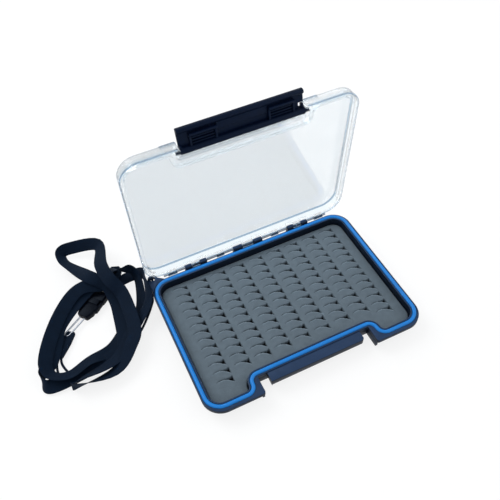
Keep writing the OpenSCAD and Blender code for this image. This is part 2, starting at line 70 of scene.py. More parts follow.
BARREL_R, LATCH_FRAMES, HOOK_DROP = 1.9, ((-32.0, -15.5), (15.5, 32.0)), 5.3
SOCKET_FROM, SOCKET_TO, BORE_HALF, PIN_PLAY, RELIEF_GAP = 37, 41.3, 66, 0.1, 0.3
HEEL_Y, HEEL_UP = 1.64, 0.06
EYE_IN, EYE_OUT, EYE_R, EYE_HOLE_R = 4.2, 3.35, 3.4, 1.7

# The foam and its slits: how many, how far apart, where the first one ends on the right, their sizes
SLIT_COLS, SLIT_ROWS, SLIT_STEP_X, SLIT_STEP_Y = 9, 13, 14.2, 6.36
SLIT_FIRST_X, SLIT_FIRST_Y, SLIT_SEED = -51.6, 42.46, 11
SLIT_LEN, SLIT_W, HOLE_LEN, HOLE_HIGH, FLAP_HIGH = 10.4, 0.34, 5.3, 1.75, 0.62
FOAM_GAP, FOAM_EDGE_R, FOAM_MARGIN, FOAM_SPARE, FOAM_CELL = 0.45, 0.9, 2.3, 2.05, 0.385

# The photograph's viewpoint, fitted to the gasket's corners and the lid's edges
CAMERA_AT, CAMERA_TURN = (-0.10005, -0.18718, 0.32116), (37.083, 2.024, -25.538)
CAMERA_LENS, CAMERA_SHIFT = 41.15, (-0.0036, 0.0499)

# The lamps, aimed at the origin: name, place, size in metres and power in watts
LAMPS = (("key", (-0.55, 0.75, 0.95), 0.8, 9.0), ("fill", (0.9, -0.5, 0.8), 1.2, 4.0))
FLOOR_GLOW = 0.8

# The lanyard's routes: x, y, z and, for the strap, its roll in degrees from lying flat
STRAP_ROUTE = (
    (-103, 70.4, 1.6, 0), (-83, 74.5, 0.9, 6), (-75, 68.5, 6.2, 56), (-76, 57, 12.9, 78),
    (-79.5, 41, 10.3, 39), (-96, 27, 6.6, 9), (-112, 12, 5.5, 17), (-137, 7, 7.5, 55),
    (-140, 5, 5.8, 98), (-115, 4, 5.7, 159), (-100.5, 15, 9.2, 177), (-94, 27, 9.5, 170),
    (-93, 53.5, 12, 164), (-97.5, 65, 17.9, 170), (-99, 79.5, 18.1, 174), (-96, 104.5, 10.9, 142),
    (-115, 114, 6.9, 133), (-122, 113.5, 5.4, 133), (-122, 104.5, 6, 144), (-117.5, 93.5, 8.8, 160),
    (-110.5, 77.5, 14.4, 200), (-102, 67, 12.8, 230), (-99, 57, 7.3, 195), (-99.5, 46, 4.3, 183),
    (-104, 21, 4.5, 182), (-113, 17, 2.9, 172), (-132.5, 13.5, 2.6, 183), (-151, 12.5, 3.5, 156),
    (-157, 14.5, 4.6, 127), (-157, 22, 5.2, 78), (-149.5, 28.5, 5.4, 32), (-143.5, 40.5, 6.3, 24),
    (-137, 52.5, 6.9, 20), (-119.5, 67, 7.1, 9), (-107.5, 73, 9.2, 34), (-97, 74.5, 14.8, 151),
    (-87, 74.5, 10.6, 112), (-81, 74, 7.2, 74), (-79.5, 65, 4.2, 52), (-85, 45, 2.6, 30),
    (-95, 38, 1.7, 14), (-108, 26.5, 1.1, 10), (-115.5, 22, 1, -6), (-127.5, 18, 6.3, 21),
    (-140, 14.5, 5.6, 24), (-148.5, 16, 6.8, 34), (-152.5, 20.5, 7.2, 34), (-152.5, 28, 8.6, 34),
    (-146, 42, 9.3, 30), (-135.5, 57.5, 9.7, 28), (-123.5, 69.5, 10, 18), (-113.5, 72, 10.7, 23),
    (-101.5, 69.5, 9.4, 54), (-92.5, 82.5, 4.4, 157), (-92.5, 79, 2.1, 193), (-103, 70.4, 3.8, 180),
)
UPPER_ROUTE = (
    (-71.2, 56.2, 10), (-71.2, 56.2, 12.4), (-73.5, 55.4, 13), (-76, 53, 10.5), (-77, 49.5, 4.5),
    (-79, 45, 1), (-88, 34.5, 0.9), (-98, 25, 0.9), (-110, 17, 0.9), (-124, 14.5, 0.9),
    (-137, 15, 0.9), (-142, 19.5, 0.9), (-144.2, 26.5, 1), (-143.6, 31.4, 1.5), (-142.6, 32.9, 1.6),
)
LOWER_ROUTE = (
    (-71.2, 56.2, 10), (-71.2, 56.2, 7.4), (-73, 54, 4), (-75, 49.5, 1.6), (-77, 45, 0.9),
    (-86.5, 32.5, 0.9), (-97, 22.5, 0.9), (-109.5, 14, 0.9), (-124, 11.5, 0.9), (-138, 12, 0.9),
    (-145.5, 15, 0.9), (-148, 21, 0.9), (-147.3, 28, 1), (-145, 32.4, 1.5), (-144, 33.8, 1.6),
)
BUCKLE_AT, BUCKLE_TURN, BUCKLE_W, BUCKLE_H = (-102.5, 70.8, 0), 218.7, 13, 5.4
BODY_LEN, BUCKLE_TONGUE = 15, 11
LINK_AT, LINK_TURN, LINK_WIRE, LINK_HALF = (-122.4, 54.8, 2.6), 214, 1.2, 1.6
LINK_IN, LINK_LEN = 2.5, 12.8
SLEEVE_AT, SLEEVE_TURN, SLEEVE_LEN, SLEEVE_H = (-133, 47.4, 0), 233.8, 19, 3.2
SLEEVE_HALF, SLEEVE_TAPER, SLEEVE_SQUARE = 3.4, 1.5, 0.45

# Ribs and crossing threads a millimetre, and the steps between two route points
STRAP_WEAVE, CORD_WEAVE = (1.15, 0.85), (1.3, 1.6)
ROUTE_STEPS = 6


def srgb(r, g, b):
    """An 8-bit screen colour as the scene-linear one that a shader takes."""
    return tuple(
        (c / 12.92 if c <= 0.04045 else ((c + 0.055) / 1.055) ** 2.4) for c in (r / 255, g / 255, b / 255)
    )


def length_property(name, text, millimetres):
    return FloatProperty(
        name=name, description=text, default=millimetres * MM, min=0.0, unit="LENGTH", precision=5
    )


def colour_property(name, text, colour):
    return FloatVectorProperty(
        name=name, description=text, default=colour, size=3, min=0.0, max=1.0, subtype="COLOR"
    )


class FLYBOX_PG_sizes(bpy.types.PropertyGroup):
    """Sizes of the box and its lanyard"""

    box_w: length_property("Box width", "Width of the box along the hinge", 150.0)
    box_d: length_property("Box depth", "Depth of the box from its front edge to its hinge edge", 106.5)
    corner_r: length_property("Corner radius", "Radius of the box's corners, seen from above", 12.5)
    base_h: length_property("Base height", "Height of the base from its underside to its rim", 11.5)
    lid_h: length_property("Lid height", "Height of the lid from its parting line to its top", 7.5)
    gasket_d: length_property("Gasket diameter", "Diameter of the gasket cord", 2.6)
    foam_t: length_property("Foam thickness", "Thickness of the foam insert", 5.0)
    slit_depth: length_property("Slit depth", "Depth of the fly slits in the foam", 3.0)
    strap_w: length_property("Strap width", "Width of the woven strap", 9.0)
    strap_t: length_property("Strap thickness", "Thickness of the woven strap", 0.5)
    cord_d: length_property("Cord diameter", "Diameter of the thin cord through the eye", 1.6)


class FLYBOX_PG_colours(bpy.types.PropertyGroup):
    """Colours of the finishes"""

    shell: colour_property("Base plastic", "Colour of the base's plastic", (0.003, 0.0058, 0.0128))
    latch: colour_property("Latch plastic", "Colour of the latch's plastic", (0.0012, 0.0042, 0.016))
    buckle: colour_property("Buckle plastic", "Colour of the buckle's plastic", (0.0006, 0.001, 0.0035))
    clear: colour_property("Clear plastic", "Tint of the lid's clear plastic", (0.7, 0.87, 1.0))
    # The edge tint is partly the thicker plastic seen edge on, partly painted shade for what clear edges
    # refract
    clear_edge_tint_and_shade: colour_property("Clear edges", "Tint of the lid's plastic seen edge on", (0.05, 0.13, 0.25))
    gasket: colour_property("Gasket", "Colour of the silicone gasket", srgb(16, 118, 198))
    foam: colour_property("Foam", "Colour of the foam insert", srgb(88, 100, 109))
    steel: colour_property("Pin steel", "Colour of the hinge pin", (0.30, 0.31, 0.33))
    link: colour_property("Link steel", "Colour of the wire link", (0.34, 0.36, 0.4))
    webbing: colour_property("Webbing", "Colour of the strap and the thin cord", (0.0013, 0.0056, 0.0145))


def size(name):
    """A size from the panel, in millimetres."""
    return getattr(bpy.context.scene.flybox_sizes, name) / MM


def colour(name):
    return tuple(getattr(bpy.context.scene.flybox_colours, name)) + (1.0,)


# ---- Outlines -------------------------------------------------------------------------


def arc(cx, cy, r, a0, a1, steps=ARC_STEPS):
    angles = [math.radians(a0 + (a1 - a0) * k / steps) for k in range(steps + 1)]
    return [(cx + r * math.cos(a), cy + r * math.sin(a)) for a in angles]


def both_sides(right_half):
    return right_half + [(-x, y) for x, y in reversed(right_half)]


def seal_outline(inset):
    """The gasket's line, moved inwards by inset. It goes round the latch notch."""
    half_w, half_d = size("box_w") / 2, size("box_d") / 2
    side, back, front = half_w - GASKET_SIDE, half_d - GASKET_BACK, -half_d + GASKET_FRONT
    shelf = -half_d + NOTCH_DEPTH + GASKET_NOTCH
    back_r = size("corner_r") - GASKET_SIDE + 0.25
    front_r, in_r = back_r - 0.5, 5.2
    out_r, bend_x = shelf - front - in_r, NOTCH_W / 2 - 0.5
    return both_sides(
        arc(bend_x, shelf - in_r, in_r + inset, 90, 0)
        + arc(bend_x + in_r + out_r, front + out_r, out_r - inset, 180, 270)[1:]
        + [(bend_x + in_r + out_r + 1, front + inset)]
        + arc(side - front_r, front + front_r, front_r - inset, 270, 360)
        + arc(side - back_r, back - back_r, back_r - inset, 0, 90)
    )


def rim_outline(inset, notch_y):
    """The rim's outer edge, moved inwards by inset, point for point with seal_outline."""
    half_w, half_d, corner_r = size("box_w") / 2, size("box_d") / 2, size("corner_r")
    notch_x = NOTCH_W / 2
    return both_sides(
        arc(notch_x - 0.3, notch_y - 0.3, 0.3 + inset, 90, 0)
        + arc(notch_x + 1.5, -half_d + 1.5, 1.5 - inset, 180, 270)[1:]
        + [(notch_x + 3.5, -half_d + inset)]
        + arc(half_w - corner_r, -half_d + corner_r, corner_r - inset, 270, 360)
        + arc(half_w - corner_r, half_d - corner_r, corner_r - inset, 0, 90)
    )


def shell_outline(inset):
    """The clear lid's outer wall: the gasket's line pushed outwards and held inside the rim's edge."""
    radius = size("corner_r") - inset
    half_w, half_d = size("box_w") / 2 - size("corner_r"), size("box_d") / 2 - size("corner_r")
    ring = []
    for x, y in seal_outline(inset - 3.6):
        near_x, near_y = max(-half_w, min(half_w, x)), max(-half_d, min(half_d, y))
        away = math.hypot(x - near_x, y - near_y)
        pull = min(1.0, radius / away) if away > 0 else 1.0
        ring.append((near_x + (x - near_x) * pull, near_y + (y - near_y) * pull))
    return ring


# ---- Modelling with Blender's own tools -----------------------------------------------


def deselect():
    if bpy.context.object is not None and bpy.context.object.mode != "OBJECT":
        bpy.ops.object.mode_set(mode="OBJECT")
    bpy.ops.object.select_all(action="DESELECT")


def activate(*pieces):
    deselect()
    for piece in pieces:
        piece.select_set(True)
    bpy.context.view_layer.objects.active = pieces[0]


def set_ring(piece, outline, height, along):
    """Puts the selected points on an outline. along is the axis that height runs on."""
    mesh = bmesh.from_edit_mesh(piece.data)
    tag = mesh.verts.layers.int["place"]
    for v in mesh.verts:
        if v.select:
            a, b = outline[v[tag]]
            v.co = Vector((height, a, b) if along == "X" else (a, b, height)) * MM
    bmesh.update_edit_mesh(piece.data)


def points_of(piece):
    flat = np.zeros(len(piece.data.vertices) * 3)
    piece.data.vertices.foreach_get("co", flat)
    return flat.reshape(-1, 3)


def close_up(piece):
    """Merges doubled points and turns the faces outwards."""
    activate(piece)
    bpy.ops.object.mode_set(mode="EDIT")
    bpy.ops.mesh.select_all(action="SELECT")
    bpy.ops.mesh.remove_doubles(threshold=1e-6)
    bpy.ops.mesh.normals_make_consistent(inside=False)
    bpy.ops.object.mode_set(mode="OBJECT")


def loft(name, rings, along="Z"):
    """Extrudes a filled outline through a stack of outlines that have the same number of points."""
    deselect()
    count = len(rings[0][0])
    bpy.ops.mesh.primitive_circle_add(vertices=count, radius=0.01, fill_type="NGON")
    piece = bpy.context.object
    piece.name = name
    bpy.ops.object.mode_set(mode="EDIT")
    mesh = bmesh.from_edit_mesh(piece.data)
    tag = mesh.verts.layers.int.new("place")
    for k, v in enumerate(mesh.verts):
        v[tag] = k
    bmesh.update_edit_mesh(piece.data)
    set_ring(piece, *rings[0], along)
    for outline, height in rings[1:]:
        bpy.ops.mesh.extrude_region_move()
        set_ring(piece, outline, height, along)
    close_up(piece)
    piece.data.attributes.remove(piece.data.attributes["place"])
    return piece


def wire_ring(name, points, r, resolution):
    """A closed round wire through points, from a circle primitive made a bevelled curve."""
    deselect()
    bpy.ops.mesh.primitive_circle_add(vertices=len(points), radius=0.01)
    ring = bpy.context.object
    ring.name = name
    for v, spot in zip(ring.data.vertices, points):
        v.co = Vector(spot) * MM
    bpy.ops.object.convert(target="CURVE")
    ring.data.bevel_depth = r * MM
    ring.data.bevel_resolution = resolution
    bpy.ops.object.convert(target="MESH")
    close_up(ring)
    return ring


def bar(name, profile, x0, x1):
    """A bar along X with its profile in Y and Z."""
    return loft(name, [(profile, x0), (profile, x1)], along="X")


def block(name, low, high):
    """A box between two corners, from a cube primitive."""
    deselect()
    centre = [(a + b) / 2 * MM for a, b in zip(low, high)]
    bpy.ops.mesh.primitive_cube_add(size=1, location=centre)
    piece = bpy.context.object
    piece.name = name
    piece.scale = [(b - a) * MM for a, b in zip(low, high)]
    bpy.ops.object.transform_apply(location=True, rotation=True, scale=True)
    return piece


def rod(name, start, end, r, sides=32):
    """A round bar between two points, from a cylinder primitive."""
    deselect()
    a, b = Vector(start) * MM, Vector(end) * MM
    bpy.ops.mesh.primitive_cylinder_add(vertices=sides, radius=r * MM, depth=(b - a).length)
    piece = bpy.context.object
    piece.name = name
    turn = (b - a).to_track_quat("Z", "Y").to_matrix().to_4x4()
    piece.matrix_world = Matrix.Translation((a + b) / 2) @ turn
    bpy.ops.object.transform_apply(location=True, rotation=True, scale=True)
    return piece


def run_modifier(piece, name, kind, **settings):
    activate(piece)
    modifier = piece.modifiers.new(name, kind)
    for key, value in settings.items():
        setattr(modifier, key, value)
    bpy.ops.object.modifier_apply(modifier=modifier.name)
    return piece


def soften(piece, width, segments=2, angle=32):
    """Rounds the sharp edges with a bevel."""
    return run_modifier(
        piece, "Soft edges", "BEVEL", width=width * MM, segments=segments,
        limit_method="ANGLE", angle_limit=math.radians(angle), miter_outer="MITER_ARC",
    )


def combine(piece, others, operation="UNION"):
    """Adds closed parts to a piece, or cuts them out of it, and removes them."""
    for other in others:
        run_modifier(piece, "Combine", "BOOLEAN", operation=operation, object=other, solver="EXACT")
        bpy.data.objects.remove(other)
    return piece


def join(name, pieces):
    activate(*pieces)
    bpy.ops.object.join()
    pieces[0].name = name
    return pieces[0]


def put(piece, matrix):
    """Moves a piece and keeps its place in its mesh."""
    activate(piece)
    piece.matrix_world = matrix
    bpy.ops.object.transform_apply(location=True, rotation=True, scale=True)
    return piece


def dress(piece, body, material, replaced=(), angle=35):
    """Gives a finished piece its shading, its material and its place on the frame."""
    activate(piece)
    bpy.ops.object.shade_smooth_by_angle(angle=math.radians(angle))
    piece.data.materials.clear()
    piece.data.materials.append(material)
    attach(piece, body)
    if replaced:
        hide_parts(*replaced)
    return piece


def turn_about(y, z, degrees):
    """A turn about the X axis through y and z, in millimetres."""
    centre = Vector((0, y * MM, z * MM))
    turn = Matrix.Rotation(math.radians(degrees), 4, "X")
    return Matrix.Translation(centre) @ turn @ Matrix.Translation(-centre)


def hinge_axis():
    return size("box_d") / 2 + HINGE_Y_OUT, size("base_h") + HINGE_Z_UP


def lid_turn():
    return turn_about(*hinge_axis(), -LID_OPEN)


def latch_turn():
    y, z = latch_axis()
    turn = Matrix.Rotation(math.radians(-LATCH_OPEN), 4, "X")
    return lid_turn() @ Matrix.Translation((0, y * MM, z * MM)) @ turn


def latch_axis():
    """The latch's pivot on the closed lid."""
    return -size("box_d") / 2 + NOTCH_DEPTH - LATCH_BACK, size("base_h") + LATCH_UP


# ---- Finishes -------------------------------------------------------------------------


def fill(tree, socket, value):
    """Gives a socket a fixed value, or links another node's output to it."""
    if isinstance(value, bpy.types.NodeSocket):
        tree.links.new(value, socket)
    else:
        socket.default_value = value


def set_inputs(tree, made, **values):
    """Fills a node's inputs by name."""
    for key, value in values.items():
        fill(tree, made.inputs[key.replace("_", " ")], value)


def add_node(tree, kind, *inputs, **values):
    """A node with its settings and inputs by name, and more inputs in order from the first."""
    made = tree.nodes.new("ShaderNode" + kind)
    for key, value in values.items():
        if hasattr(made, key):
            setattr(made, key, value)
        else:
            set_inputs(tree, made, **{key: value})
    for socket, value in zip(made.inputs, inputs):
        fill(tree, socket, value)
    return made


def maths(tree, operation, *values, clamp=False):
    """What a Math node puts out, from fixed values or other nodes' outputs."""
    return add_node(tree, "Math", *values, operation=operation, use_clamp=clamp).outputs[0]


def ramp(tree, mask, low, high, dark=(0, 0, 0, 1), light=(1, 1, 1, 1)):
    made = add_node(tree, "ValToRGB", mask)
    for stop, place, shade in zip(made.color_ramp.elements, (low, high), (dark, light)):
        stop.position, stop.color = place, shade
    return made.outputs["Color"]


def tinted(tree, mask, base, other, blend="MIX"):
    """A mix from base to other by a mask."""
    mix = add_node(tree, "Mix", data_type="RGBA", blend_type=blend)
    set_inputs(tree, mix, A=base, B=other, Factor=mask)
    return mix.outputs["Result"]


def value_range(tree, source, low, high, from_low=0.0, from_high=1.0):
    made = add_node(
        tree, "MapRange", source, From_Min=from_low, From_Max=from_high, To_Min=low, To_Max=high
    )
    return made.outputs["Result"]


def bumped(tree, shader, height, distance, strength):
    bump = add_node(tree, "Bump", Height=height, Distance=distance, Strength=strength)
    fill(tree, shader.inputs["Normal"], bump.outputs["Normal"])


def shaded(base, factor):
    """A colour made darker or paler, and held within 1."""
    return tuple(min(1.0, c * factor) for c in base[:3]) + (1.0,)


def new_group(name, inputs, outputs):
    """An empty node group with a Vector, number inputs with their defaults, and number outputs."""
    tree = bpy.data.node_groups.new(name, "ShaderNodeTree")
    tree.interface.new_socket(name="Vector", in_out="INPUT", socket_type="NodeSocketVector")
    for label, default in inputs.items():
        socket = tree.interface.new_socket(name=label, in_out="INPUT", socket_type="NodeSocketFloat")
        socket.default_value = default
    for label in outputs:
        tree.interface.new_socket(name=label, in_out="OUTPUT", socket_type="NodeSocketFloat")
    return tree, tree.nodes.new("NodeGroupInput").outputs, tree.nodes.new("NodeGroupOutput").inputs


def place_group(tree, group, where, **values):
    """Places a node group in a material and returns its outputs."""
    made = add_node(tree, "Group", node_tree=group)
    set_inputs(tree, made, Vector=where, **values)
    return made.outputs


def grain_group():
    """Fine moulded or cellular grain, with slow patches of shade."""
    if "Grain" in bpy.data.node_groups:
        return bpy.data.node_groups["Grain"]
    tree, source, result = new_group(
        "Grain", {"Fine Scale": 2500.0, "Patch Scale": 60.0}, ("Height", "Patches")
    )
    where = source["Vector"]
    fine = add_node(tree, "TexNoise", where, Scale=source["Fine Scale"], Detail=3.0, Roughness=0.6)
    slow = add_node(tree, "TexNoise", where, Scale=source["Patch Scale"], Detail=4.0, Roughness=0.55)
    fill(tree, result["Height"], fine.outputs["Fac"])
    fill(tree, result["Patches"], slow.outputs["Fac"])
    return tree


def wear_group():
    """A mask of rubbed edges: convex edges, broken up by noise."""
    if "Edge wear" in bpy.data.node_groups:
        return bpy.data.node_groups["Edge wear"]
    tree, source, result = new_group("Edge wear", {"Amount": 1.0}, ("Mask",))
    edge = ramp(tree, add_node(tree, "NewGeometry").outputs["Pointiness"], 0.51, 0.62)
    broken = add_node(tree, "TexNoise", source["Vector"], Scale=420.0, Detail=5.0, Roughness=0.7)
    rubbed = maths(tree, "MULTIPLY", edge, ramp(tree, broken.outputs["Fac"], 0.42, 0.7))
    fill(tree, result["Mask"], maths(tree, "MULTIPLY", rubbed, source["Amount"], clamp=True))
    return tree


def dust_group():
    """Sparse specks of dust and lint."""
    if "Dust" in bpy.data.node_groups:
        return bpy.data.node_groups["Dust"]
    tree, source, result = new_group("Dust", {"Scale": 700.0}, ("Mask",))
    specks = add_node(tree, "TexVoronoi", source["Vector"], Scale=source["Scale"], Randomness=1.0)
    dots = ramp(tree, specks.outputs["Distance"], 0.06, 0.14, (1, 1, 1, 1), (0, 0, 0, 1))
    areas = add_node(tree, "TexNoise", source["Vector"], Scale=90.0, Detail=2.0)
    dusty = ramp(tree, areas.outputs["Fac"], 0.52, 0.68)
    fill(tree, result["Mask"], maths(tree, "MULTIPLY", dots, dusty))
    return tree


def weave_group():
    """A woven band on a UV map in millimetres: rows of ribs across it, with crossing threads."""
    if "Weave" in bpy.data.node_groups:
        return bpy.data.node_groups["Weave"]
    tree, source, result = new_group("Weave", {"Ribs": 1.0, "Threads": 1.0}, ("Height",))
    parts = add_node(tree, "SeparateXYZ", source["Vector"]).outputs

    def ripple(axis, rate, factor, shift=0.0):
        turns = maths(tree, "MULTIPLY", maths(tree, "MULTIPLY", parts[axis], source[rate]), factor)
        return maths(tree, "SINE", maths(tree, "ADD", turns, shift))

    # Neighbouring threads go over and under in turn, so the rib's wave shifts by half a turn
    across = ripple("X", "Threads", 2 * math.pi)
    half_turn = maths(tree, "MULTIPLY", maths(tree, "SIGN", across), math.pi / 2)
    along = ripple("Y", "Ribs", 2 * math.pi, half_turn)
    mixed = maths(tree, "MULTIPLY_ADD", ripple("X", "Threads", 4 * math.pi), 0.35, along)
    fill(tree, result["Height"], maths(tree, "MULTIPLY_ADD", mixed, 0.35, 0.5))
    return tree


def new_material(name, **values):
    """A material, its node tree and its shader, whose inputs are given by name."""
    material = bpy.data.materials.new(name)
    material.use_nodes = True
    tree = material.node_tree
    shader = tree.nodes["Principled BSDF"]
    set_inputs(tree, shader, **values)
    return material, tree, shader


def object_place(tree):
    return add_node(tree, "TexCoord").outputs["Object"]


def moulded_plastic(name, tint, specular, rough=(0.36, 0.5), grain=2400.0, painted_sheen=1.0):
    """Dark moulded plastic: fine grain, slow patches of gloss, rubbed edges and specks of dust.
    Its upward faces are painted paler by a factor, a painted sheen that stands in for the sky's reflection
    on them."""
    material, tree, shader = new_material(
        name, Specular_IOR_Level=specular, Specular_Tint=(0.6, 0.78, 1.0, 1.0)
    )
    where, base = object_place(tree), colour(tint)
    surface = place_group(tree, grain_group(), where, Fine_Scale=grain, Patch_Scale=55.0)
    edges = place_group(tree, wear_group(), where, Amount=0.5)
    dust = place_group(tree, dust_group(), where, Scale=650.0)
    # Faces turned up are painted paler: painted sheen for the sky's reflection on them
    facing = add_node(tree, "SeparateXYZ", add_node(tree, "NewGeometry").outputs["Normal"])
    level = value_range(tree, facing.outputs["Z"], 0.0, 1.0, 0.55, 0.95)
    with_painted_sheen = tinted(tree, level, base, shaded(base, painted_sheen))
    mottle = tinted(tree, surface["Patches"], (0.75, 0.75, 0.75, 1.0), (1.3, 1.3, 1.3, 1.0))
    patchy = tinted(tree, 1.0, with_painted_sheen, mottle, "MULTIPLY")
    worn = tinted(tree, edges["Mask"], patchy, shaded(base, 2.0 + painted_sheen))
    set_inputs(
        tree, shader,
        Base_Color=tinted(tree, dust["Mask"], worn, (0.08, 0.1, 0.13, 1.0)),
        Roughness=value_range(tree, surface["Patches"], *rough, 0.3, 0.7),
    )
    bumped(tree, shader, surface["Height"], 0.00002, 0.5)
    return material


def clear_plastic():
    """Clear moulded plastic with a faint blue tint that deepens where it is seen edge on and on its marked
    rounded edges: partly the thicker plastic seen there, partly painted shade for the darker surroundings
    these edges refract.
    """
    material, tree, shader = new_material("Clear plastic", Transmission_Weight=1.0, IOR=1.46)
    where, tint = object_place(tree), colour("clear")
    surface = place_group(tree, grain_group(), where, Fine_Scale=900.0, Patch_Scale=18.0)
    stretch = add_node(tree, "Mapping", where, Scale=(900.0, 25.0, 40.0), Rotation=(0.2, 0.3, 0.6))
    hairs = add_node(tree, "TexNoise", stretch.outputs["Vector"], Scale=1.0, Detail=2.0, Roughness=0.5)
    lines = ramp(tree, hairs.outputs["Fac"], 0.66, 0.72)
    facing = add_node(tree, "LayerWeight", Blend=0.5)
    turned = value_range(tree, facing.outputs["Facing"], 0.0, 1.0, 0.55, 0.95)
    marked = add_node(tree, "Attribute", attribute_name="edge_line").outputs["Fac"]
    # Edge-on faces and marked edges take the dark edge colour: partly the thicker plastic, partly painted
    # shade
    edge_on_tint_and_shade = maths(tree, "MAXIMUM", marked, turned)
    # Clear plastic lets most light through, so its shadow is kept faint
    shadow = add_node(tree, "LightPath").outputs["Is Shadow Ray"]
    faint = value_range(tree, shadow, 1.0, 0.2)
    patchy = tinted(tree, surface["Patches"], tint, shaded(tint, 1.04))
    set_inputs(
        tree, shader,
        Base_Color=tinted(tree, edge_on_tint_and_shade, patchy, colour("clear_edge_tint_and_shade")),
        Alpha=maths(tree, "MULTIPLY", value_range(tree, edge_on_tint_and_shade, 0.33, 0.9), faint),
        Roughness=value_range(tree, lines, 0.02, 0.16),
    )
    bumped(tree, shader, surface["Patches"], 0.00015, 0.25)
    return material


def silicone():
    """Soft blue silicone with a satin skin, faint patches of tone and specks of dust."""
    material, tree, shader = new_material("Gasket silicone", Specular_IOR_Level=0.3)
    where, base = object_place(tree), colour("gasket")
    surface = place_group(tree, grain_group(), where, Fine_Scale=1600.0, Patch_Scale=120.0)
    dust = place_group(tree, dust_group(), where, Scale=900.0)
    patchy = tinted(tree, surface["Patches"], shaded(base, 0.88), shaded(base, 1.12))
    specks = value_range(tree, dust["Mask"], 0.0, 0.4)
    set_inputs(
        tree, shader,
        Base_Color=tinted(tree, specks, patchy, (0.45, 0.6, 0.75, 1.0)),
        Roughness=value_range(tree, surface["Patches"], 0.38, 0.55, 0.3, 0.7),
    )
    bumped(tree, shader, surface["Height"], 0.00003, 0.35)
    return material


def foam_finish():
    """Closed-cell foam: small open cells in the skin, mottled shade, painted shade dark in the slits and a
    painted highlight on their lips.
    """
    material, tree, shader = new_material(
        "Slit foam", Specular_IOR_Level=0.18, Sheen_Weight=0.15, Sheen_Roughness=0.5
    )
    where, base = object_place(tree), colour("foam")
    surface = place_group(tree, grain_group(), where, Fine_Scale=1500.0, Patch_Scale=260.0)
    cells = add_node(tree, "TexVoronoi", where, Scale=2200.0)
    mottled = tinted(tree, surface["Patches"], shaded(base, 0.8), shaded(base, 1.2))
    # The attribute is below nought on a slit's lip, where a painted highlight goes, and above it in the
    # slit, where painted shade goes
    depth = add_node(tree, "Attribute", attribute_name="slit_depth").outputs["Fac"]
    lit = value_range(tree, depth, 1.0, 0.0, -1.0, 0.0)
    lip = tinted(tree, lit, mottled, shaded(base, 1.55))
    # Near black in the slits is painted shade
    set_inputs(
        tree, shader,
        Base_Color=tinted(tree, depth, lip, (0.003, 0.003, 0.004, 1.0)),
        Roughness=value_range(tree, surface["Patches"], 0.7, 0.9),
    )
    height = maths(tree, "ADD", surface["Height"], cells.outputs["Distance"])
    bumped(tree, shader, height, 0.00012, 0.6)
    return material


def drawn_steel(name, tint, rough, streaks):
    """Drawn steel wire with fine lines along X and small smudges."""
    material, tree, shader = new_material(name, Metallic=1.0)
    where, base = object_place(tree), colour(tint)
    surface = place_group(tree, grain_group(), where, Fine_Scale=1800.0, Patch_Scale=300.0)
    stretch = add_node(tree, "Mapping", where, Scale=streaks)
    lines = add_node(tree, "TexNoise", stretch.outputs["Vector"], Scale=1.0, Detail=3.0).outputs["Fac"]
    set_inputs(
        tree, shader,
        Base_Color=tinted(tree, surface["Patches"], shaded(base, 0.8), shaded(base, 1.15)),
        Roughness=value_range(tree, lines, *rough, 0.3, 0.7),
    )
    bumped(tree, shader, lines, 0.00002, 0.4)
    return material


def woven(name, ribs, threads, sheen=0.05, depth=0.00012):
    """Woven or braided yarn on the piece's UV map, in millimetres."""
    if name in bpy.data.materials:
        return bpy.data.materials[name]
    material, tree, shader = new_material(
        name, Specular_IOR_Level=0.08, Sheen_Weight=sheen, Sheen_Roughness=0.4,
        Sheen_Tint=(0.35, 0.5, 0.8, 1.0),
    )
    where, base = add_node(tree, "UVMap", uv_map="Run").outputs["UV"], colour("webbing")
    weave = place_group(tree, weave_group(), where, Ribs=ribs, Threads=threads)
    surface = place_group(tree, grain_group(), where, Fine_Scale=6.0, Patch_Scale=0.15)
    # Raised threads are painted paler and the hollows between them darker: painted shade of the weave, with
    # random patches of tone
    weave_painted_shade = value_range(tree, weave["Height"], 0.0, 0.6)
    patches_and_weave_shade = maths(tree, "MULTIPLY_ADD", surface["Patches"], 0.45, weave_painted_shade)
    set_inputs(
        tree, shader,
        Base_Color=tinted(tree, patches_and_weave_shade, shaded(base, 0.5), shaded(base, 2.0)),
        Roughness=value_range(tree, surface["Height"], 0.6, 0.85),
    )
    bumped(tree, shader, weave["Height"], depth, 0.8)
    return material


# ---- Box ------------------------------------------------------------------------------


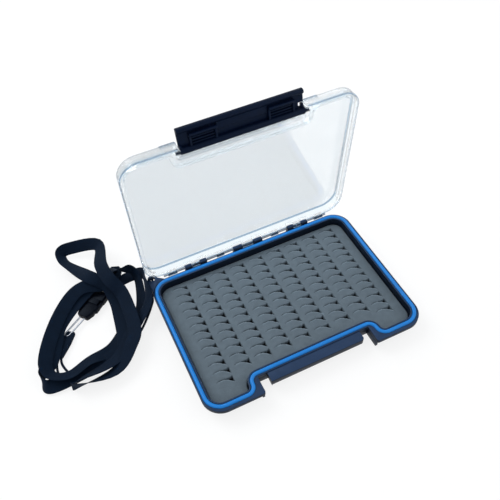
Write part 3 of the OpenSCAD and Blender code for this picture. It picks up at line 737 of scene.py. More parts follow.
class FLYBOX_OT_base(bpy.types.Operator):
    """Build the moulded tray with its rim, seal groove, tongue, hinge blocks and lanyard eye"""

    bl_idname = "flybox.base"
    bl_label = "Base Tray"

    def execute(self, context):
        base_h, half_d = size("base_h"), size("box_d") / 2
        groove = size("gasket_d") / 2 + GROOVE_GAP
        well = groove + INNER_LIP
        wall = well - TRAY_WALL
        notch_y = -half_d + NOTCH_DEPTH
        under, floor = base_h - RIM_T, base_h - GROOVE_DEPTH
        seal, rim = seal_outline, lambda inset: rim_outline(inset, notch_y)
        shell = loft("base_tray_shell", [
            (seal(wall + 3.0), 0), (seal(wall + 2.2), 0.12), (seal(wall + 1.45), 0.5),
            (seal(wall + 0.8), 1.0), (seal(wall + 0.35), 1.8), (seal(wall), 3.2),
            (seal(wall - 0.35), under),
            (rim(0.15), under), (rim(0.0), under + 0.15),
            (rim(0.0), base_h - 0.3), (rim(0.08), base_h - 0.1), (rim(0.25), base_h),
            (seal(-groove - 0.1), base_h), (seal(-groove), base_h - 0.1), (seal(-groove), floor),
            (seal(groove), floor), (seal(groove), base_h - 0.2), (seal(groove + 0.2), base_h),
            (seal(well - 0.35), base_h), (seal(well - 0.1), base_h - 0.1), (seal(well), base_h - 0.35),
            (seal(well + 0.15), FLOOR_T + 0.4), (seal(well + 0.5), FLOOR_T),
        ])
        parts = [shell, self.tongue(base_h, notch_y), *self.skirt(base_h, notch_y)]
        for middle, width, lug_w in HINGE_BLOCKS:
            parts += self.hinge_block(middle, width, lug_w)
        parts.append(self.eye(base_h, half_d))
        tray = join("base_tray_moulding", parts)
        # The tray's upward faces get a strong painted sheen for the sky's reflection
        plastic = moulded_plastic("Base plastic", "shell", 0.2, (0.34, 0.5), 2600.0, 6.0)
        dress(tray, "base", plastic, ["base_tray"])
        return {"FINISHED"}

    def tongue(self, base_h, notch_y):
        """The shelf that the latch hooks under, hollow below, with its outer corners rounded."""
        half, front, top = TONGUE_W / 2, notch_y - TONGUE_REACH, base_h - 0.6
        ring = (
            arc(half - 2, front + 2, 2, 270, 360)
            + [(half, notch_y + 0.5), (-half, notch_y + 0.5)]
            + arc(-half + 0.4, front + 0.4, 0.4, 180, 270)
        )
        shelf = loft("tongue", [(ring, top - 4.7), (ring, top)])
        low, high = (-half + 1.8, front + 1.8, top - 6), (half - 1.8, notch_y - 0.2, top - 1.8)
        combine(shelf, [block("hollow", low, high)], "DIFFERENCE")
        return soften(shelf, 0.3, 3)

    def skirt(self, base_h, notch_y):
        """The notch's side and back walls below the rim."""
        x, front, low, high = NOTCH_W / 2, -size("box_d") / 2 + 1.5, 3.2, base_h - RIM_T + 0.1
        walls = [
            block("skirt", (-x - 1.6, notch_y, low), (x + 1.6, notch_y + 1.6, high)),
            block("skirt", (-x - 1.6, front, low), (-x, notch_y + 1, high)),
            block("skirt", (x, front, low), (x + 1.6, notch_y + 1, high)),
        ]
        return [soften(w, 0.2) for w in walls]

    def hinge_block(self, middle, width, lug_w):
        """A bar on the rim's back edge with a rounded lug at each end."""
        y, z = hinge_axis()
        back = size("box_d") / 2 - 0.5
        top = z - BAR_DROP
        x0, x1 = middle - width / 2, middle + width / 2
        low, front = top - BAR_H, y + LUG_R
        profile = [(back, low), (front - 0.8, low), (front, low + 0.8), (front, top), (back, top)]
        lug = arc(y, z, LUG_R, 0, 180, 20) + [(y - LUG_R, top - 0.5), (y + LUG_R, top - 0.5)]
        parts = [soften(bar("bar", profile, x0, x1), 0.25)]
        for x in (x0, x1 - lug_w):
            parts.append(soften(bar("lug", lug, x, x + lug_w), 0.25, 3))
        return parts

    def eye(self, base_h, half_d):
        """The lanyard eye at the back left corner."""
        half_w, corner_r = size("box_w") / 2, size("corner_r")
        x, y = -half_w + EYE_IN, half_d + EYE_OUT
        ring = arc(x, y, EYE_R, 0, 180, 24)
        ring += [(-half_w + 0.6, half_d - corner_r), (-half_w + corner_r, half_d - 0.6)]
        plate = loft("eye", [(ring, base_h - RIM_T), (ring, base_h)])
        combine(plate, [rod("hole", (x, y, 0), (x, y, base_h + 2), EYE_HOLE_R, 40)], "DIFFERENCE")
        return soften(plate, 0.35, 3)


class FLYBOX_OT_gasket(bpy.types.Operator):
    """Build the round silicone gasket that lies in the rim's groove"""

    bl_idname = "flybox.gasket"
    bl_label = "Gasket"

    def execute(self, context):
        r = size("gasket_d") / 2
        height = size("base_h") - GROOVE_DEPTH + 0.1 + r
        ring = wire_ring("gasket_cord", [(x, y, height) for x, y in seal_outline(0)], r, 6)
        dress(ring, "base", silicone(), ["gasket"], angle=60)
        return {"FINISHED"}


class FLYBOX_OT_foam(bpy.types.Operator):
    """Build the foam insert with its rows of curved fly slits"""

    bl_idname = "flybox.foam"
    bl_label = "Foam Insert"

    def execute(self, context):
        inset = size("gasket_d") / 2 + GROOVE_GAP + INNER_LIP + FOAM_GAP
        outline = np.array(seal_outline(inset))
        low, top = FLOOR_T + 0.02, FLOOR_T + size("foam_t")
        (x0, y0), (x1, y1) = outline.min(0) - FOAM_MARGIN, outline.max(0) + FOAM_MARGIN
        deselect()
        bpy.ops.mesh.primitive_grid_add(
            x_subdivisions=int((x1 - x0) / FOAM_CELL), y_subdivisions=int((y1 - y0) / FOAM_CELL), size=1
        )
        foam = bpy.context.object
        foam.name = "foam_slit_insert"
        grid = points_of(foam)[:, :2] * (x1 - x0, y1 - y0) + ((x0 + x1) / 2, (y0 + y1) / 2)
        inside, nearest = self.measure(grid, outline)
        height, dark = self.slits(grid)
        points = self.drape(grid, inside, nearest, low, top)
        points[:, 2] += np.where(inside > 1.5, height, 0.0)
        foam.data.vertices.foreach_set("co", (points * MM).ravel())
        # The slits' painted shade and the painted highlight on their lips go on the points
        shade = foam.data.attributes.new("slit_depth", "FLOAT", "POINT")
        shade.data.foreach_set("value", np.where(inside > 1.5, dark, 0.0))
        self.close_under(foam, inside, low)
        dress(foam, "base", foam_finish(), ["foam_insert"], angle=180)
        return {"FINISHED"}

    def measure(self, grid, outline):
        """For each point, how far inside the outline it is, and the outline's nearest point."""
        best = np.full(len(grid), 1e9)
        nearest = np.zeros_like(grid)
        crossings = np.zeros(len(grid), int)
        for a, b in zip(outline, np.roll(outline, -1, 0)):
            edge = b - a
            if edge @ edge < 1e-9:
                continue
            t = np.clip(((grid - a) @ edge) / (edge @ edge), 0, 1)
            near = a + t[:, None] * edge
            gap = np.linalg.norm(grid - near, axis=1)
            closer = gap < best
            best[closer], nearest[closer] = gap[closer], near[closer]
            if abs(edge[1]) > 1e-9:
                spans = (grid[:, 1] >= min(a[1], b[1])) & (grid[:, 1] < max(a[1], b[1]))
                cross_x = a[0] + (grid[:, 1] - a[1]) * edge[0] / edge[1]
                crossings += spans & (cross_x > grid[:, 0])
        return np.where(crossings % 2 == 1, best, -best), nearest

    def drape(self, grid, inside, nearest, low, top):
        """Folds the sheet over a soft edge and down the insert's sides."""
        r = FOAM_EDGE_R
        inwards = (grid - nearest) / np.where(np.abs(inside) < 1e-6, 1e-6, inside)[:, None]
        beyond = np.clip(r - inside, 0, None)
        turn = np.clip(beyond / r, 0, math.pi / 2)
        drop = r * (1 - np.cos(turn)) + np.clip(beyond - r * math.pi / 2, 0, None) * 3.5
        depth = np.where(inside > r, inside, r - r * np.sin(turn))
        spot = np.where((inside > r)[:, None], grid, nearest + inwards * depth[:, None])
        swell = 0.07 * np.sin(grid[:, 0] * 0.11 + 0.6) * np.cos(grid[:, 1] * 0.13)
        z = np.maximum(top - drop + np.where(inside > r, swell - 0.07, -0.07), low)
        return np.column_stack([spot, z])

    def slits(self, grid):
        """Each slit is a curved cut that falls away at its right end and gapes there in a
        three-cornered hole. The flap below the cut stands up a little. With the heights come
        painted shade for the holes, grooves and sunk skin, and a painted highlight on the lips."""
        chance = np.random.default_rng(SLIT_SEED)
        height, dark = np.zeros(len(grid)), np.zeros(len(grid))
        for col in range(SLIT_COLS):
            for row in range(SLIT_ROWS if col in (0, SLIT_COLS - 1) else SLIT_ROWS - 1):
                cx, cy = SLIT_FIRST_X + col * SLIT_STEP_X, SLIT_FIRST_Y - row * SLIT_STEP_Y
                near = np.flatnonzero(
                    (grid[:, 0] > cx - 12.5) & (grid[:, 0] < cx + 2)
                    & (grid[:, 1] > cy - 5) & (grid[:, 1] < cy + 5)
                )
                wide, lift = 1 + chance.normal(0, 0.07), 1 + chance.normal(0, 0.15)
                bow = chance.normal(0, 0.12)
                u = grid[near, 0] - cx + chance.normal(0, 0.12)
                v = grid[near, 1] - cy + chance.normal(0, 0.08)
                run = np.clip((u + 6.2) / 6.2, 0, 1.05)
                cut = 2.05 + bow - 0.9 * np.clip((-u - 8) / 3, 0, 1) ** 2 - 4.1 * run**1.6
                left = 0.4 * np.clip((-1.7 - u) / 3.3, 0, 2) ** 1.3
                right = 0.5 * np.clip((u + 1.7) / 1.7, 0, 1.2) ** 1.4
                roof = (HOLE_HIGH + np.where(u < -1.7, left, right)) * wide
                hole = (u < 0.2) & (u > -HOLE_LEN) & (v > cut) & (v < roof)
                on_cut = (u < 0.1) & (u > -SLIT_LEN)
                groove = np.where(on_cut, np.clip(1 - np.abs(v - cut) / SLIT_W, 0, 1), 0.0)
                ends = np.clip((u + SLIT_LEN) / 2.5, 0, 1) * np.clip((0.6 - u) / 0.6, 0, 1)
                flap = np.where(v <= cut, np.exp(-(cut - v) / 1.5), 0.0) * ends
                flap *= 0.25 + 0.75 * np.clip((u + 8) / 5, 0, 1)
                sunk = np.where(v > cut, np.exp(-(v - cut) / 0.9), 0.0) * ends
                height[near] += FLAP_HIGH * lift * flap - 0.16 * sunk - 0.55 * groove * (v > cut - 0.1)
                height[near] = np.where(hole, -size("slit_depth"), height[near])
                # A painted highlight on the lip under the cut, and painted shade in the hole, the groove
                # and the sunk skin above it
                lip = np.where(v <= cut, -np.exp(-((cut - v - 0.35) / 0.4) ** 2), 0.0) * ends * on_cut
                shade = np.where(hole, 1.0, 0.8 * groove * (v > cut) + 0.45 * sunk * (v > cut + 0.2))
                dark[near] = np.where(shade > 0.02, np.maximum(dark[near], shade), dark[near] + lip)
        return height, dark

    def close_under(self, foam, inside, low):
        """Drops the sheet's spare corners and closes the underside."""
        activate(foam)
        bpy.ops.object.mode_set(mode="EDIT")
        mesh = bmesh.from_edit_mesh(foam.data)
        mesh.verts.ensure_lookup_table()
        spare = [v for v, d in zip(mesh.verts, inside) if d < -FOAM_SPARE]
        bmesh.ops.delete(mesh, geom=spare, context="VERTS")
        bmesh.update_edit_mesh(foam.data)
        bpy.ops.mesh.select_all(action="SELECT")
        bpy.ops.mesh.remove_doubles(threshold=0.00003)
        bpy.ops.mesh.select_all(action="DESELECT")
        bpy.ops.mesh.select_non_manifold(extend=False, use_wire=False, use_multi_face=False,
                                         use_non_contiguous=False, use_verts=False)
        bpy.ops.mesh.edge_face_add()
        bpy.ops.mesh.select_all(action="SELECT")
        bpy.ops.mesh.normals_make_consistent(inside=False)
        bpy.ops.object.mode_set(mode="OBJECT")


class FLYBOX_OT_hinge_pin(bpy.types.Operator):
    """Build the steel hinge pin with its rounded ends"""

    bl_idname = "flybox.hinge_pin"
    bl_label = "Hinge Pin"

    def execute(self, context):
        y, z = hinge_axis()
        half, r = PIN_LEN / 2, PIN_R
        ends = [(-half, r * 0.55), (-half + 0.12, r * 0.85), (-half + 0.35, r)]
        rings = ends + [(-x, ring_r) for x, ring_r in reversed(ends)]
        pin = loft("hinge_pin_wire", [(arc(y, z, ring_r, 0, 345, 23), x) for x, ring_r in rings], along="X")
        steel = drawn_steel("Pin steel", "steel", (0.22, 0.42), (40.0, 4000.0, 4000.0))
        dress(pin, "base", steel, ["hinge_pin"])
        return {"FINISHED"}


class FLYBOX_OT_lid(bpy.types.Operator):
    """Build the clear lid with its walls, flange, latch wall, cheeks and hinge knuckles"""

    bl_idname = "flybox.lid"
    bl_label = "Clear Lid"

    def execute(self, context):
        low = size("base_h") + LID_LIFT
        top, flange = low + size("lid_h"), low + LID_FLANGE
        well, channel = LID_WALL + 0.3 - GASKET_SIDE, size("gasket_d") / 2 + CHANNEL_GAP
        roof = low + CHANNEL_ROOF
        latch_wall = latch_axis()[0] + LATCH_WALL_BACK
        seal, shell, rim = seal_outline, shell_outline, lambda inset: rim_outline(inset, latch_wall + 0.2)
        lid = loft("lid_shell", [
            (shell(2.3), top), (shell(1.7), top - 0.06), (shell(1.15), top - 0.24),
            (shell(0.7), top - 0.58),
            (shell(0.42), top - 1.05), (shell(0.3), top - 1.6), (shell(0.3), flange),
            (rim(0.25), flange), (rim(0.08), flange - 0.1), (rim(0.0), flange - 0.3),
            (rim(0.0), low + 0.15),
            (rim(0.15), low), (seal(-channel), low), (seal(-channel), roof), (seal(well), roof),
            (seal(well), top - 2.3), (seal(well + 0.7), top - 1.6),
        ])
        wall_x, wall_back = NOTCH_W / 2 + 0.6, latch_wall + LATCH_WALL_T
        added = [block("wall", (-wall_x, latch_wall, low), (wall_x, wall_back, top - 1.4))]
        for side in (-1, 1):
            added.append(self.cheek(side, low, top - 0.15, latch_wall))
        for middle, width, lug_w in HINGE_BLOCKS:
            half = width / 2 - lug_w - RELIEF_GAP
            added.append(self.knuckle(middle - half, middle + half))
        for middle, width in LONE_KNUCKLES:
            added.append(self.knuckle(middle - width / 2, middle + width / 2))
        combine(lid, added)
        combine(lid, self.cuts(low), "DIFFERENCE")
        self.mark_edge_tint_and_shade(lid, low, top)
        put(lid, lid_turn())
        dress(lid, "lid", clear_plastic(), ["lid"], angle=28)
        return {"FINISHED"}

    def mark_edge_tint_and_shade(self, lid, low, top):
        """Marks the rounded outer edges, where the plastic's colour is deepened: partly the thicker plastic
        seen there, partly painted shade for the darker surroundings these edges refract.
        """
        spots = points_of(lid) / MM
        corner = size("corner_r")
        inner = np.array([size("box_w") / 2 - corner, size("box_d") / 2 - corner])
        past = np.abs(spots[:, :2]) - inner
        rim_gap = corner - np.linalg.norm(np.maximum(past, 0), axis=1) - np.minimum(past.max(axis=1), 0)
        upper = (spots[:, 2] > top - 1.2) & (spots[:, 2] < top - 0.2) & (rim_gap < 1.6)
        lower = (spots[:, 2] < low + 0.2) & (rim_gap < 0.3)
        line = lid.data.attributes.new("edge_line", "FLOAT", "POINT")
        line.data.foreach_set("value", np.where(upper | lower, 1.0, 0.0))

    def cheek(self, side, low, high, latch_wall):
        """The clear lug beside the latch, which holds its trunnion."""
        x0, front = NOTCH_W / 2, -size("box_d") / 2
        bend = front + NOTCH_DEPTH + GASKET_NOTCH - 5.2
        ring = [(x0, latch_wall + 2.8)] + arc(x0 + 1.5, front + 1.6, 1.5, 180, 270, 6)
        ring += [(CHEEK_X, front + 0.1)] + arc(CHEEK_X, bend, CHEEK_R, 270, 180, 8)
        ring = [(side * x, y) for x, y in ring]
        return soften(loft("cheek", [(ring, low + 1.2), (ring, high)]), 0.9, 3)

    def knuckle(self, x0, x1):
        """A hinge knuckle whose heel lands on the base's bar and stops the lid."""
        y, z = hinge_axis()
        turn = math.radians(LID_OPEN)
        heel_z = -BAR_DROP + HEEL_UP
        heel = (
            y + HEEL_Y * math.cos(turn) - heel_z * math.sin(turn),
            z + HEEL_Y * math.sin(turn) + heel_z * math.cos(turn),
        )
        profile = [(y - 1.7, z - 0.3)] + arc(y, z, KNUCKLE_R, 200, 355, 14)
        profile += [(heel[0] - 0.1, z), heel, (y, z + 1.8), (y - 2.4, z + 1.8)]
        profile += [(y - 2.4, z + 0.7), (y - 1.7, z + 0.7)]
        return bar("knuckle", profile, x0, x1)

    def cuts(self, low):
        y, z = hinge_axis()
        tools = []
        for middle, width, lug_w in HINGE_BLOCKS:
            for x in (middle - width / 2, middle + width / 2 - lug_w):
                start, end = x - RELIEF_GAP, x + lug_w + RELIEF_GAP
                tools.append(block(
                    "relief", (start, y - LUG_R - 0.5, low - 1), (end, y + LUG_R, low + 3.5)
                ))
        tools.append(rod("bore", (-BORE_HALF, y, z), (BORE_HALF, y, z), PIN_R + PIN_PLAY, 24))
        ly, lz = latch_axis()
        for side in (-1, 1):
            start, end = (side * SOCKET_FROM, ly, lz), (side * SOCKET_TO, ly, lz)
            tools.append(rod("socket", start, end, SOCKET_R, 28))
        return tools


class FLYBOX_OT_latch(bpy.types.Operator):
    """Build the front latch with its barrel, grip lip, two ribbed hook frames and trunnions"""

    bl_idname = "flybox.latch"
    bl_label = "Latch"

    def execute(self, context):
        out, drop, half = LATCH_OUT, LATCH_DROP, LATCH_HALF
        inner = out - LATCH_T
        barrel = arc(0, 0, BARREL_R, -90, 57, 14)
        barrel += [(-out + 0.4, 1.6), (-out, 1.2), (-out, -BARREL_R)]
        plate = [(-out, -drop + 0.6), (-out + 0.6, -drop), (-inner, -drop), (-inner, 1.0), (-out, 1.0)]
        face = -inner - 0.2
        lip = arc(-0.9, -drop + 1.5, 1.5, -90, 90, 12) + [(face, -drop + 3.0), (face, -drop)]
        left, right = LATCH_FRAMES[0][1], LATCH_FRAMES[1][0]
        parts = [
            soften(bar("barrel", barrel, -half, half), 0.3, 3),
            soften(bar("plate", plate, -half, half), 0.35, 3),
            soften(bar("lip", lip, -half, half), 0.35, 3),
            soften(block("panel", (left, face, -drop + 2.9), (right, -inner + 1.0, -6.0)), 0.3, 3),
        ]
        combine(parts[1], [
            block("slot", (half - 3.4, -out - 1, -5.2), (half - 1.6, 3, -2.3)),
            block("slot", (half - 2.0, -out - 1, -5.2), (half + 1, 3, -4.1)),
        ], "DIFFERENCE")
        for x0, x1 in LATCH_FRAMES:
            parts.append(self.frame(x0, x1, -inner))
        for side in (-1, 1):
            pin = rod("trunnion", (side * (half - 1), 0, 0), (side * (half + 2.7), 0, 0), TRUNNION_R, 32)
            parts.append(soften(pin, 0.2, 2))
            rib = [(face, -3.2), (0.9, -2.4), (0.9, 0.5), (face, 0.5)]
            x0, x1 = sorted((side * half, side * (half - 1.6)))
            parts.append(soften(bar("end_rib", rib, x0, x1), 0.25))
        latch = join("latch_moulding", parts)
        put(latch, latch_turn())
        dress(latch, "latch", moulded_plastic("Latch plastic", "latch", 0.13), ["latch"])
        return {"FINISHED"}

    def frame(self, x0, x1, inner):
        """A raised frame with thin ribs inside. Its lower bar hooks under the tray's tongue."""
        hook = -(latch_axis()[1] - (size("base_h") - HOOK_DROP) + 0.3)
        low, high, face = hook - 1.4, -0.9, 0.9
        walls = [
            soften(block("rail", (x, inner - 0.2, low + 0.2), (x + 1.3, face, high)), 0.3, 3)
            for x in (x0, x1 - 1.3)
        ]
        lip = arc(1.7, low + 0.7, 0.7, -90, 90, 8) + [(inner - 0.2, low + 1.4), (inner - 0.2, low)]
        walls.append(soften(bar("hook", lip, x0, x1), 0.3, 3))
        for k in (1, 2, 3):
            z = hook + k * (high - hook) / 4
            rib = block("rib", (x0 + 0.6, inner - 0.2, z - 0.4), (x1 - 0.6, inner + 1.1, z + 0.4))
            walls.append(soften(rib, 0.15))
        return join("frame", walls)


# ---- Lanyard --------------------------------------------------------------------------


def smooth_run(points):
    """A smooth curve through route points, by Catmull-Rom. Extra columns, such as roll, go with it."""
    rows = np.array(points, float)
    rows = np.vstack([2 * rows[0] - rows[1], rows, 2 * rows[-1] - rows[-2]])
    out = []
    for a, b, c, d in zip(rows, rows[1:], rows[2:], rows[3:]):
        for k in range(ROUTE_STEPS):
            t = k / ROUTE_STEPS
            bend, twist = 2 * a - 5 * b + 4 * c - d, 3 * b - a - 3 * c + d
            out.append(0.5 * (2 * b + (c - a) * t + bend * t**2 + twist * t**3))
    out.append(rows[-2])
    return np.array(out)


def sweep_section(name, path, side, face, section):
    """A closed tube: the section's (a, b) points stand on side and face all along the path.
    Its UV map runs round the section and along the path, in millimetres."""
    count = len(section)
    across = side[:, None, :] * section[None, :, :1] + face[:, None, :] * section[None, :, 1:2]
    rings = path[:, None, :] + across
    along = np.r_[0, np.cumsum(np.linalg.norm(np.diff(path, axis=0), axis=1))]
    closed = np.vstack([section, section[:1]])
    around = np.r_[0, np.cumsum(np.linalg.norm(np.diff(closed, axis=0), axis=1))]
    mesh = bpy.data.meshes.new(name)
    built = bmesh.new()
    uv = built.loops.layers.uv.new("Run")
    verts = [[built.verts.new(p * MM) for p in ring] for ring in rings]
    for j in range(len(path) - 1):
        for k in range(count):
            n = (k + 1) % count
            made = built.faces.new((verts[j][k], verts[j][n], verts[j + 1][n], verts[j + 1][k]))
            for loop, (q, w) in zip(made.loops, ((k, j), (k + 1, j), (k + 1, j + 1), (k, j + 1))):
                loop[uv].uv = (around[q], along[w])
    for ring in (verts[0], verts[-1]):
        cap = built.faces.new(ring)
        for loop, a in zip(cap.loops, section):
            loop[uv].uv = (a[0], a[1])
    bmesh.ops.recalc_face_normals(built, faces=built.faces)
    built.to_mesh(mesh)
    built.free()
    piece = bpy.data.objects.new(name, mesh)
    bpy.context.scene.collection.objects.link(piece)
    return piece


def headings(path):
    t = np.gradient(path, axis=0)
    return t / np.linalg.norm(t, axis=1)[:, None]


def level_left(t):
    side = np.column_stack([-t[:, 1], t[:, 0], np.zeros(len(t))])
    return side / np.linalg.norm(side, axis=1)[:, None]


class FLYBOX_OT_strap(bpy.types.Operator):
    """Lay the woven strap: one loop that leaves the buckle, turns on itself and comes back"""

    bl_idname = "flybox.strap"
    bl_label = "Strap"

    def execute(self, context):
        run = smooth_run(STRAP_ROUTE)
        path, roll = run[:, :3], np.radians(run[:, 3])[:, None]
        t = headings(path)
        side = level_left(t) * np.cos(roll) + np.array([[0, 0, 1.0]]) * np.sin(roll)
        face = np.cross(t, side)
        face /= np.linalg.norm(face, axis=1)[:, None]
        a, b = size("strap_w") / 2, size("strap_t") / 2
        half = [(a, 0), (a - b * 0.4, b * 0.8), (a - b * 1.3, b), (a * 0.5, b * 0.94), (0, b * 0.9),
                (-a * 0.5, b * 0.94), (-a + b * 1.3, b), (-a + b * 0.4, b * 0.8)]
        section = np.array(half + [(-x, -y) for x, y in half])
        strap = sweep_section("strap_webbing", path, side, face, section)
        dress(strap, "base", woven("Strap webbing", *STRAP_WEAVE), ["strap"], angle=50)
        size("strap_w") * MM
        return {"FINISHED"}


class FLYBOX_OT_cords(bpy.types.Operator):
    """Lay the two thin braided cords from the eye to the sleeve"""

    bl_idname = "flybox.cords"
    bl_label = "Thin Cords"

    def execute(self, context):
        r = size("cord_d") / 2
        for name, node, route in (
            ("cord_braid_upper", "cord_upper", UPPER_ROUTE), ("cord_braid_lower", "cord_lower", LOWER_ROUTE)
        ):
            path = smooth_run(route)
            t = headings(path)
            level = np.linalg.norm(t[:, :2], axis=1) > 0.2
            side = np.cross(t, [0, 1.0, 0])
            side[level] = level_left(t[level])
            side /= np.linalg.norm(side, axis=1)[:, None]
            section = np.array(arc(0, 0, r, 0, 330, 11))
            cord = sweep_section(name, path, side, np.cross(t, side), section)
            braid = woven("Cord braid", *CORD_WEAVE, 0.04, 0.0001)
            dress(cord, "base", braid, [node], angle=80)
        return {"FINISHED"}


def at_place(spot, turn):
    return Matrix.Translation(Vector(spot) * MM) @ Matrix.Rotation(math.radians(turn), 4, "Z")


class FLYBOX_OT_buckle(bpy.types.Operator):
    """Build the side release buckle that the strap's two ends are sewn to"""

    bl_idname = "flybox.buckle"
    bl_label = "Buckle"

    def execute(self, context):
        w, h, body_len, reach = BUCKLE_W / 2, BUCKLE_H, BODY_LEN, BUCKLE_TONGUE
        plastic = moulded_plastic("Buckle plastic", "buckle", 0.08)
        ring = [(0, -w + 1.4), (1.4, -w), (body_len - 1, -w), (body_len, -w + 0.6)]
        ring += [(x, -y) for x, y in reversed(ring)]
        body = loft("buckle_shell", [
            ([(x, y * 0.93) for x, y in ring], 0), (ring, 0.9), (ring, h - 1.1),
            ([(x, y * 0.88) for x, y in ring], h),
        ])
        cuts = []
        for side in (-1, 1):
            y0, y1 = sorted((side * (w - 2.1), side * (w + 1)))
            cuts.append(block("window", (10.8, y0, -1), (body_len + 1, y1, h + 1)))
        cuts.append(block("slot", (1.9, -w + 1.6, -1), (4.2, w - 1.6, h + 1)))
        combine(body, cuts, "DIFFERENCE")
        soften(body, 0.35, 3)
        ridge = [
            soften(block("ridge", (x, -2.6, h - 0.3), (x + 0.7, 2.6, h - 0.02)), 0.12)
            for x in (6.2, 7.8, 9.4)
        ]
        body = join("buckle_socket", [body] + ridge)
        put(body, at_place(BUCKLE_AT, BUCKLE_TURN))
        dress(body, "base", plastic, ["buckle_body"])
        nose = [(body_len, -w), (body_len + 3.5, -w), (body_len + 4.5, -w + 1.2), (body_len + 6, -w + 0.8),
                (body_len + reach - 1, -4.2), (body_len + reach, -3.4)]
        nose += [(x, -y) for x, y in reversed(nose)]
        tongue = loft("nose", [
            ([(x, y * 0.9) for x, y in nose], 0.3), (nose, 1.1), (nose, h - 1.2),
            ([(x, y * 0.86) for x, y in nose], h - 0.3),
        ])
        soften(tongue, 0.3, 3)
        prongs = []
        for side in (-1, 1):
            low, high = sorted((side * (w - 1.8), side * w))
            prong = block("prong", (11.1, low, 1.2), (body_len + 0.5, high, h - 1.2))
            prongs.append(soften(prong, 0.35, 3))
        tongue = join("buckle_plug", [tongue] + prongs)
        put(tongue, at_place(BUCKLE_AT, BUCKLE_TURN))
        dress(tongue, "base", plastic, ["buckle_tongue"])
        return {"FINISHED"}


class FLYBOX_OT_link(bpy.types.Operator):
    """Bend the oval wire link and sew the webbing sleeve that joins it to the thin cords"""

    bl_idname = "flybox.link"
    bl_label = "Link and Sleeve"

    def execute(self, context):
        r, half, x0, x1 = LINK_WIRE / 2, LINK_HALF, -LINK_IN, LINK_LEN + LINK_IN
        loop = arc(x1, 0, half, -90, 90, 14) + arc(x0, 0, half, 90, 270, 14)
        link = wire_ring("wire_link_loop", [(x, y, 0) for x, y in loop], r, 5)
        put(link, at_place(LINK_AT, LINK_TURN))
        steel = drawn_steel("Link steel", "link", (0.14, 0.3), (300.0, 300.0, 300.0))
        dress(link, "base", steel, ["wire_link"], angle=60)
        self.sleeve()
        return {"FINISHED"}

    def sleeve(self):
        """The webbing folded over the link and sewn flat, tapering to the thin cords."""
        length, h = SLEEVE_LEN, SLEEVE_H
        stations = np.linspace(0, 1, 25)
        path = np.column_stack([stations * length, 0 * stations, 0 * stations + h / 2])
        side = np.tile([0, 1.0, 0], (len(stations), 1))
        face = np.tile([0, 0, 1.0], (len(stations), 1))
        around, square = np.radians(np.arange(0, 360, 15)), SLEEVE_SQUARE
        rings = []
        for s in stations:
            taper, mouth = np.clip((s - 0.35) / 0.65, 0, 1) ** 1.3, np.clip(0.06 - s, 0, 1) / 0.06
            wide = SLEEVE_HALF - SLEEVE_TAPER * taper - 0.5 * mouth
            stitch, fold = np.exp(-((s - 0.3) / 0.03) ** 2), np.clip(0.05 - s, 0, 1) / 0.05
            tall = (h / 2 - 0.05) * (1 - 0.25 * stitch - 0.35 * fold)
            c, d = np.cos(around), np.sin(around)
            rings.append(np.column_stack([
                wide * np.sign(c) * np.abs(c) ** square, tall * np.sign(d) * np.abs(d) ** square,
            ]))
        sleeve = sweep_section("sleeve_webbing", path, side, face, rings[10])
        count = len(around)
        for j, ring in enumerate(rings):
            for k, (a, b) in enumerate(ring):
                sleeve.data.vertices[j * count + k].co = Vector((path[j][0], a, h / 2 + b)) * MM
        put(sleeve, at_place(SLEEVE_AT, SLEEVE_TURN))
        dress(sleeve, "base", woven("Strap webbing", *STRAP_WEAVE), ["sleeve"], angle=50)


# ---- Stage ----------------------------------------------------------------------------


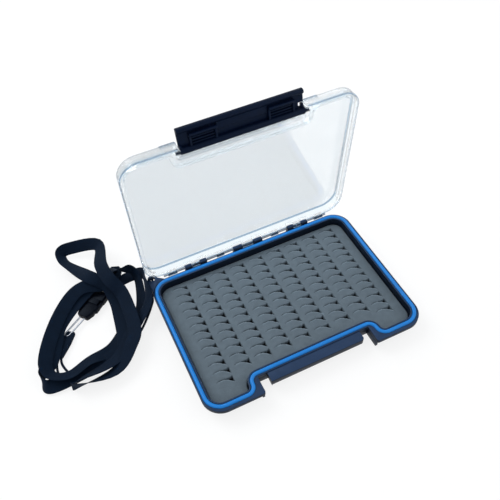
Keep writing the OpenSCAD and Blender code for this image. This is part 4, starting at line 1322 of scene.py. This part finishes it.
class FLYBOX_OT_stage(bpy.types.Operator):
    """Set the pale floor, the soft lights, the white surround and the camera"""

    bl_idname = "flybox.stage"
    bl_label = "Stage"

    def execute(self, context):
        self.floor()
        self.surround(context.scene)
        self.lights()
        self.camera(context.scene)
        context.scene.view_settings.view_transform = "Standard"
        return {"FINISHED"}

    def floor(self):
        deselect()
        bpy.ops.mesh.primitive_plane_add(size=6, location=(0, 0, -0.0001))
        floor = bpy.context.object
        floor.name = "floor"
        bpy.ops.object.transform_apply(location=True, rotation=True, scale=True)
        material, tree, shader = new_material(
            "Pale floor", Base_Color=(0.93, 0.93, 0.93, 1), Roughness=0.9, Specular_IOR_Level=0.0
        )
        glow = add_node(tree, "Emission", Strength=1.0)
        path = add_node(tree, "LightPath").outputs
        seen = maths(tree, "MAXIMUM", path["Is Camera Ray"], path["Is Transmission Ray"])
        share = maths(tree, "MULTIPLY", maths(tree, "MAXIMUM", seen, path["Is Glossy Ray"]), FLOOR_GLOW)
        mix = add_node(tree, "MixShader", share, shader.outputs[0], glow.outputs[0])
        fill(tree, tree.nodes["Material Output"].inputs["Surface"], mix.outputs[0])
        floor.data.materials.append(material)

    def surround(self, scene):
        world = bpy.data.worlds.new("White surround")
        scene.world = world
        world.use_nodes = True
        tree = world.node_tree
        lit = tree.nodes["Background"]
        set_inputs(tree, lit, Color=(0.92, 0.96, 1.0, 1), Strength=0.75)
        shown = add_node(tree, "Background", Color=(1, 1, 1, 1), Strength=1.0)
        path = add_node(tree, "LightPath").outputs
        seen = maths(tree, "MAXIMUM", path["Is Camera Ray"], path["Is Transmission Ray"])
        mix = add_node(tree, "MixShader", seen, lit.outputs[0], shown.outputs[0])
        fill(tree, tree.nodes["World Output"].inputs["Surface"], mix.outputs[0])

    def lights(self):
        for name, spot, wide, power in LAMPS:
            deselect()
            bpy.ops.object.light_add(type="AREA", location=spot)
            lamp = bpy.context.object
            lamp.name = name
            lamp.data.size = wide
            lamp.data.energy = power
            lamp.rotation_euler = (-Vector(spot)).to_track_quat("-Z", "Y").to_euler()

    def camera(self, scene):
        """The camera at the photograph's viewpoint."""
        deselect()
        turn = tuple(math.radians(angle) for angle in CAMERA_TURN)
        bpy.ops.object.camera_add(location=CAMERA_AT, rotation=turn)
        camera = bpy.context.object
        camera.data.sensor_width = 36
        camera.data.lens = CAMERA_LENS
        camera.data.shift_x, camera.data.shift_y = CAMERA_SHIFT
        camera.data.clip_start = 0.01
        scene.camera = camera


class FLYBOX_PT_panel(bpy.types.Panel):
    """The fly box's sizes, colours and building steps"""

    bl_label = "Fly Box"
    bl_space_type = "VIEW_3D"
    bl_region_type = "UI"
    bl_category = "Fly Box"

    def draw(self, context):
        layout = self.layout
        scene = context.scene
        for title, group in (("Sizes", scene.flybox_sizes), ("Colours", scene.flybox_colours)):
            layout.label(text=title)
            for name in group.__annotations__:
                layout.prop(group, name)
        for step in STEPS:
            layout.operator(step.bl_idname)


STEPS = (
    FLYBOX_OT_strap, FLYBOX_OT_cords, FLYBOX_OT_buckle, FLYBOX_OT_link, FLYBOX_OT_base, FLYBOX_OT_gasket,
    FLYBOX_OT_foam, FLYBOX_OT_hinge_pin, FLYBOX_OT_lid, FLYBOX_OT_latch, FLYBOX_OT_stage,
)
CLASSES = (FLYBOX_PG_sizes, FLYBOX_PG_colours, *STEPS, FLYBOX_PT_panel)


def register():
    for made in CLASSES:
        bpy.utils.register_class(made)
    bpy.types.Scene.flybox_sizes = PointerProperty(type=FLYBOX_PG_sizes)
    bpy.types.Scene.flybox_colours = PointerProperty(type=FLYBOX_PG_colours)


def unregister():
    del bpy.types.Scene.flybox_colours
    del bpy.types.Scene.flybox_sizes
    for made in reversed(CLASSES):
        bpy.utils.unregister_class(made)


def main():
    register()
    bpy.ops.flybox.stage()
    bpy.ops.flybox.strap()
    bpy.ops.flybox.cords()
    bpy.ops.flybox.buckle()
    bpy.ops.flybox.link()
    bpy.ops.flybox.base()
    bpy.ops.flybox.gasket()
    bpy.ops.flybox.foam()
    bpy.ops.flybox.hinge_pin()
    bpy.ops.flybox.lid()
    bpy.ops.flybox.latch()
    deselect()


if __name__ == "__main__":
    main()
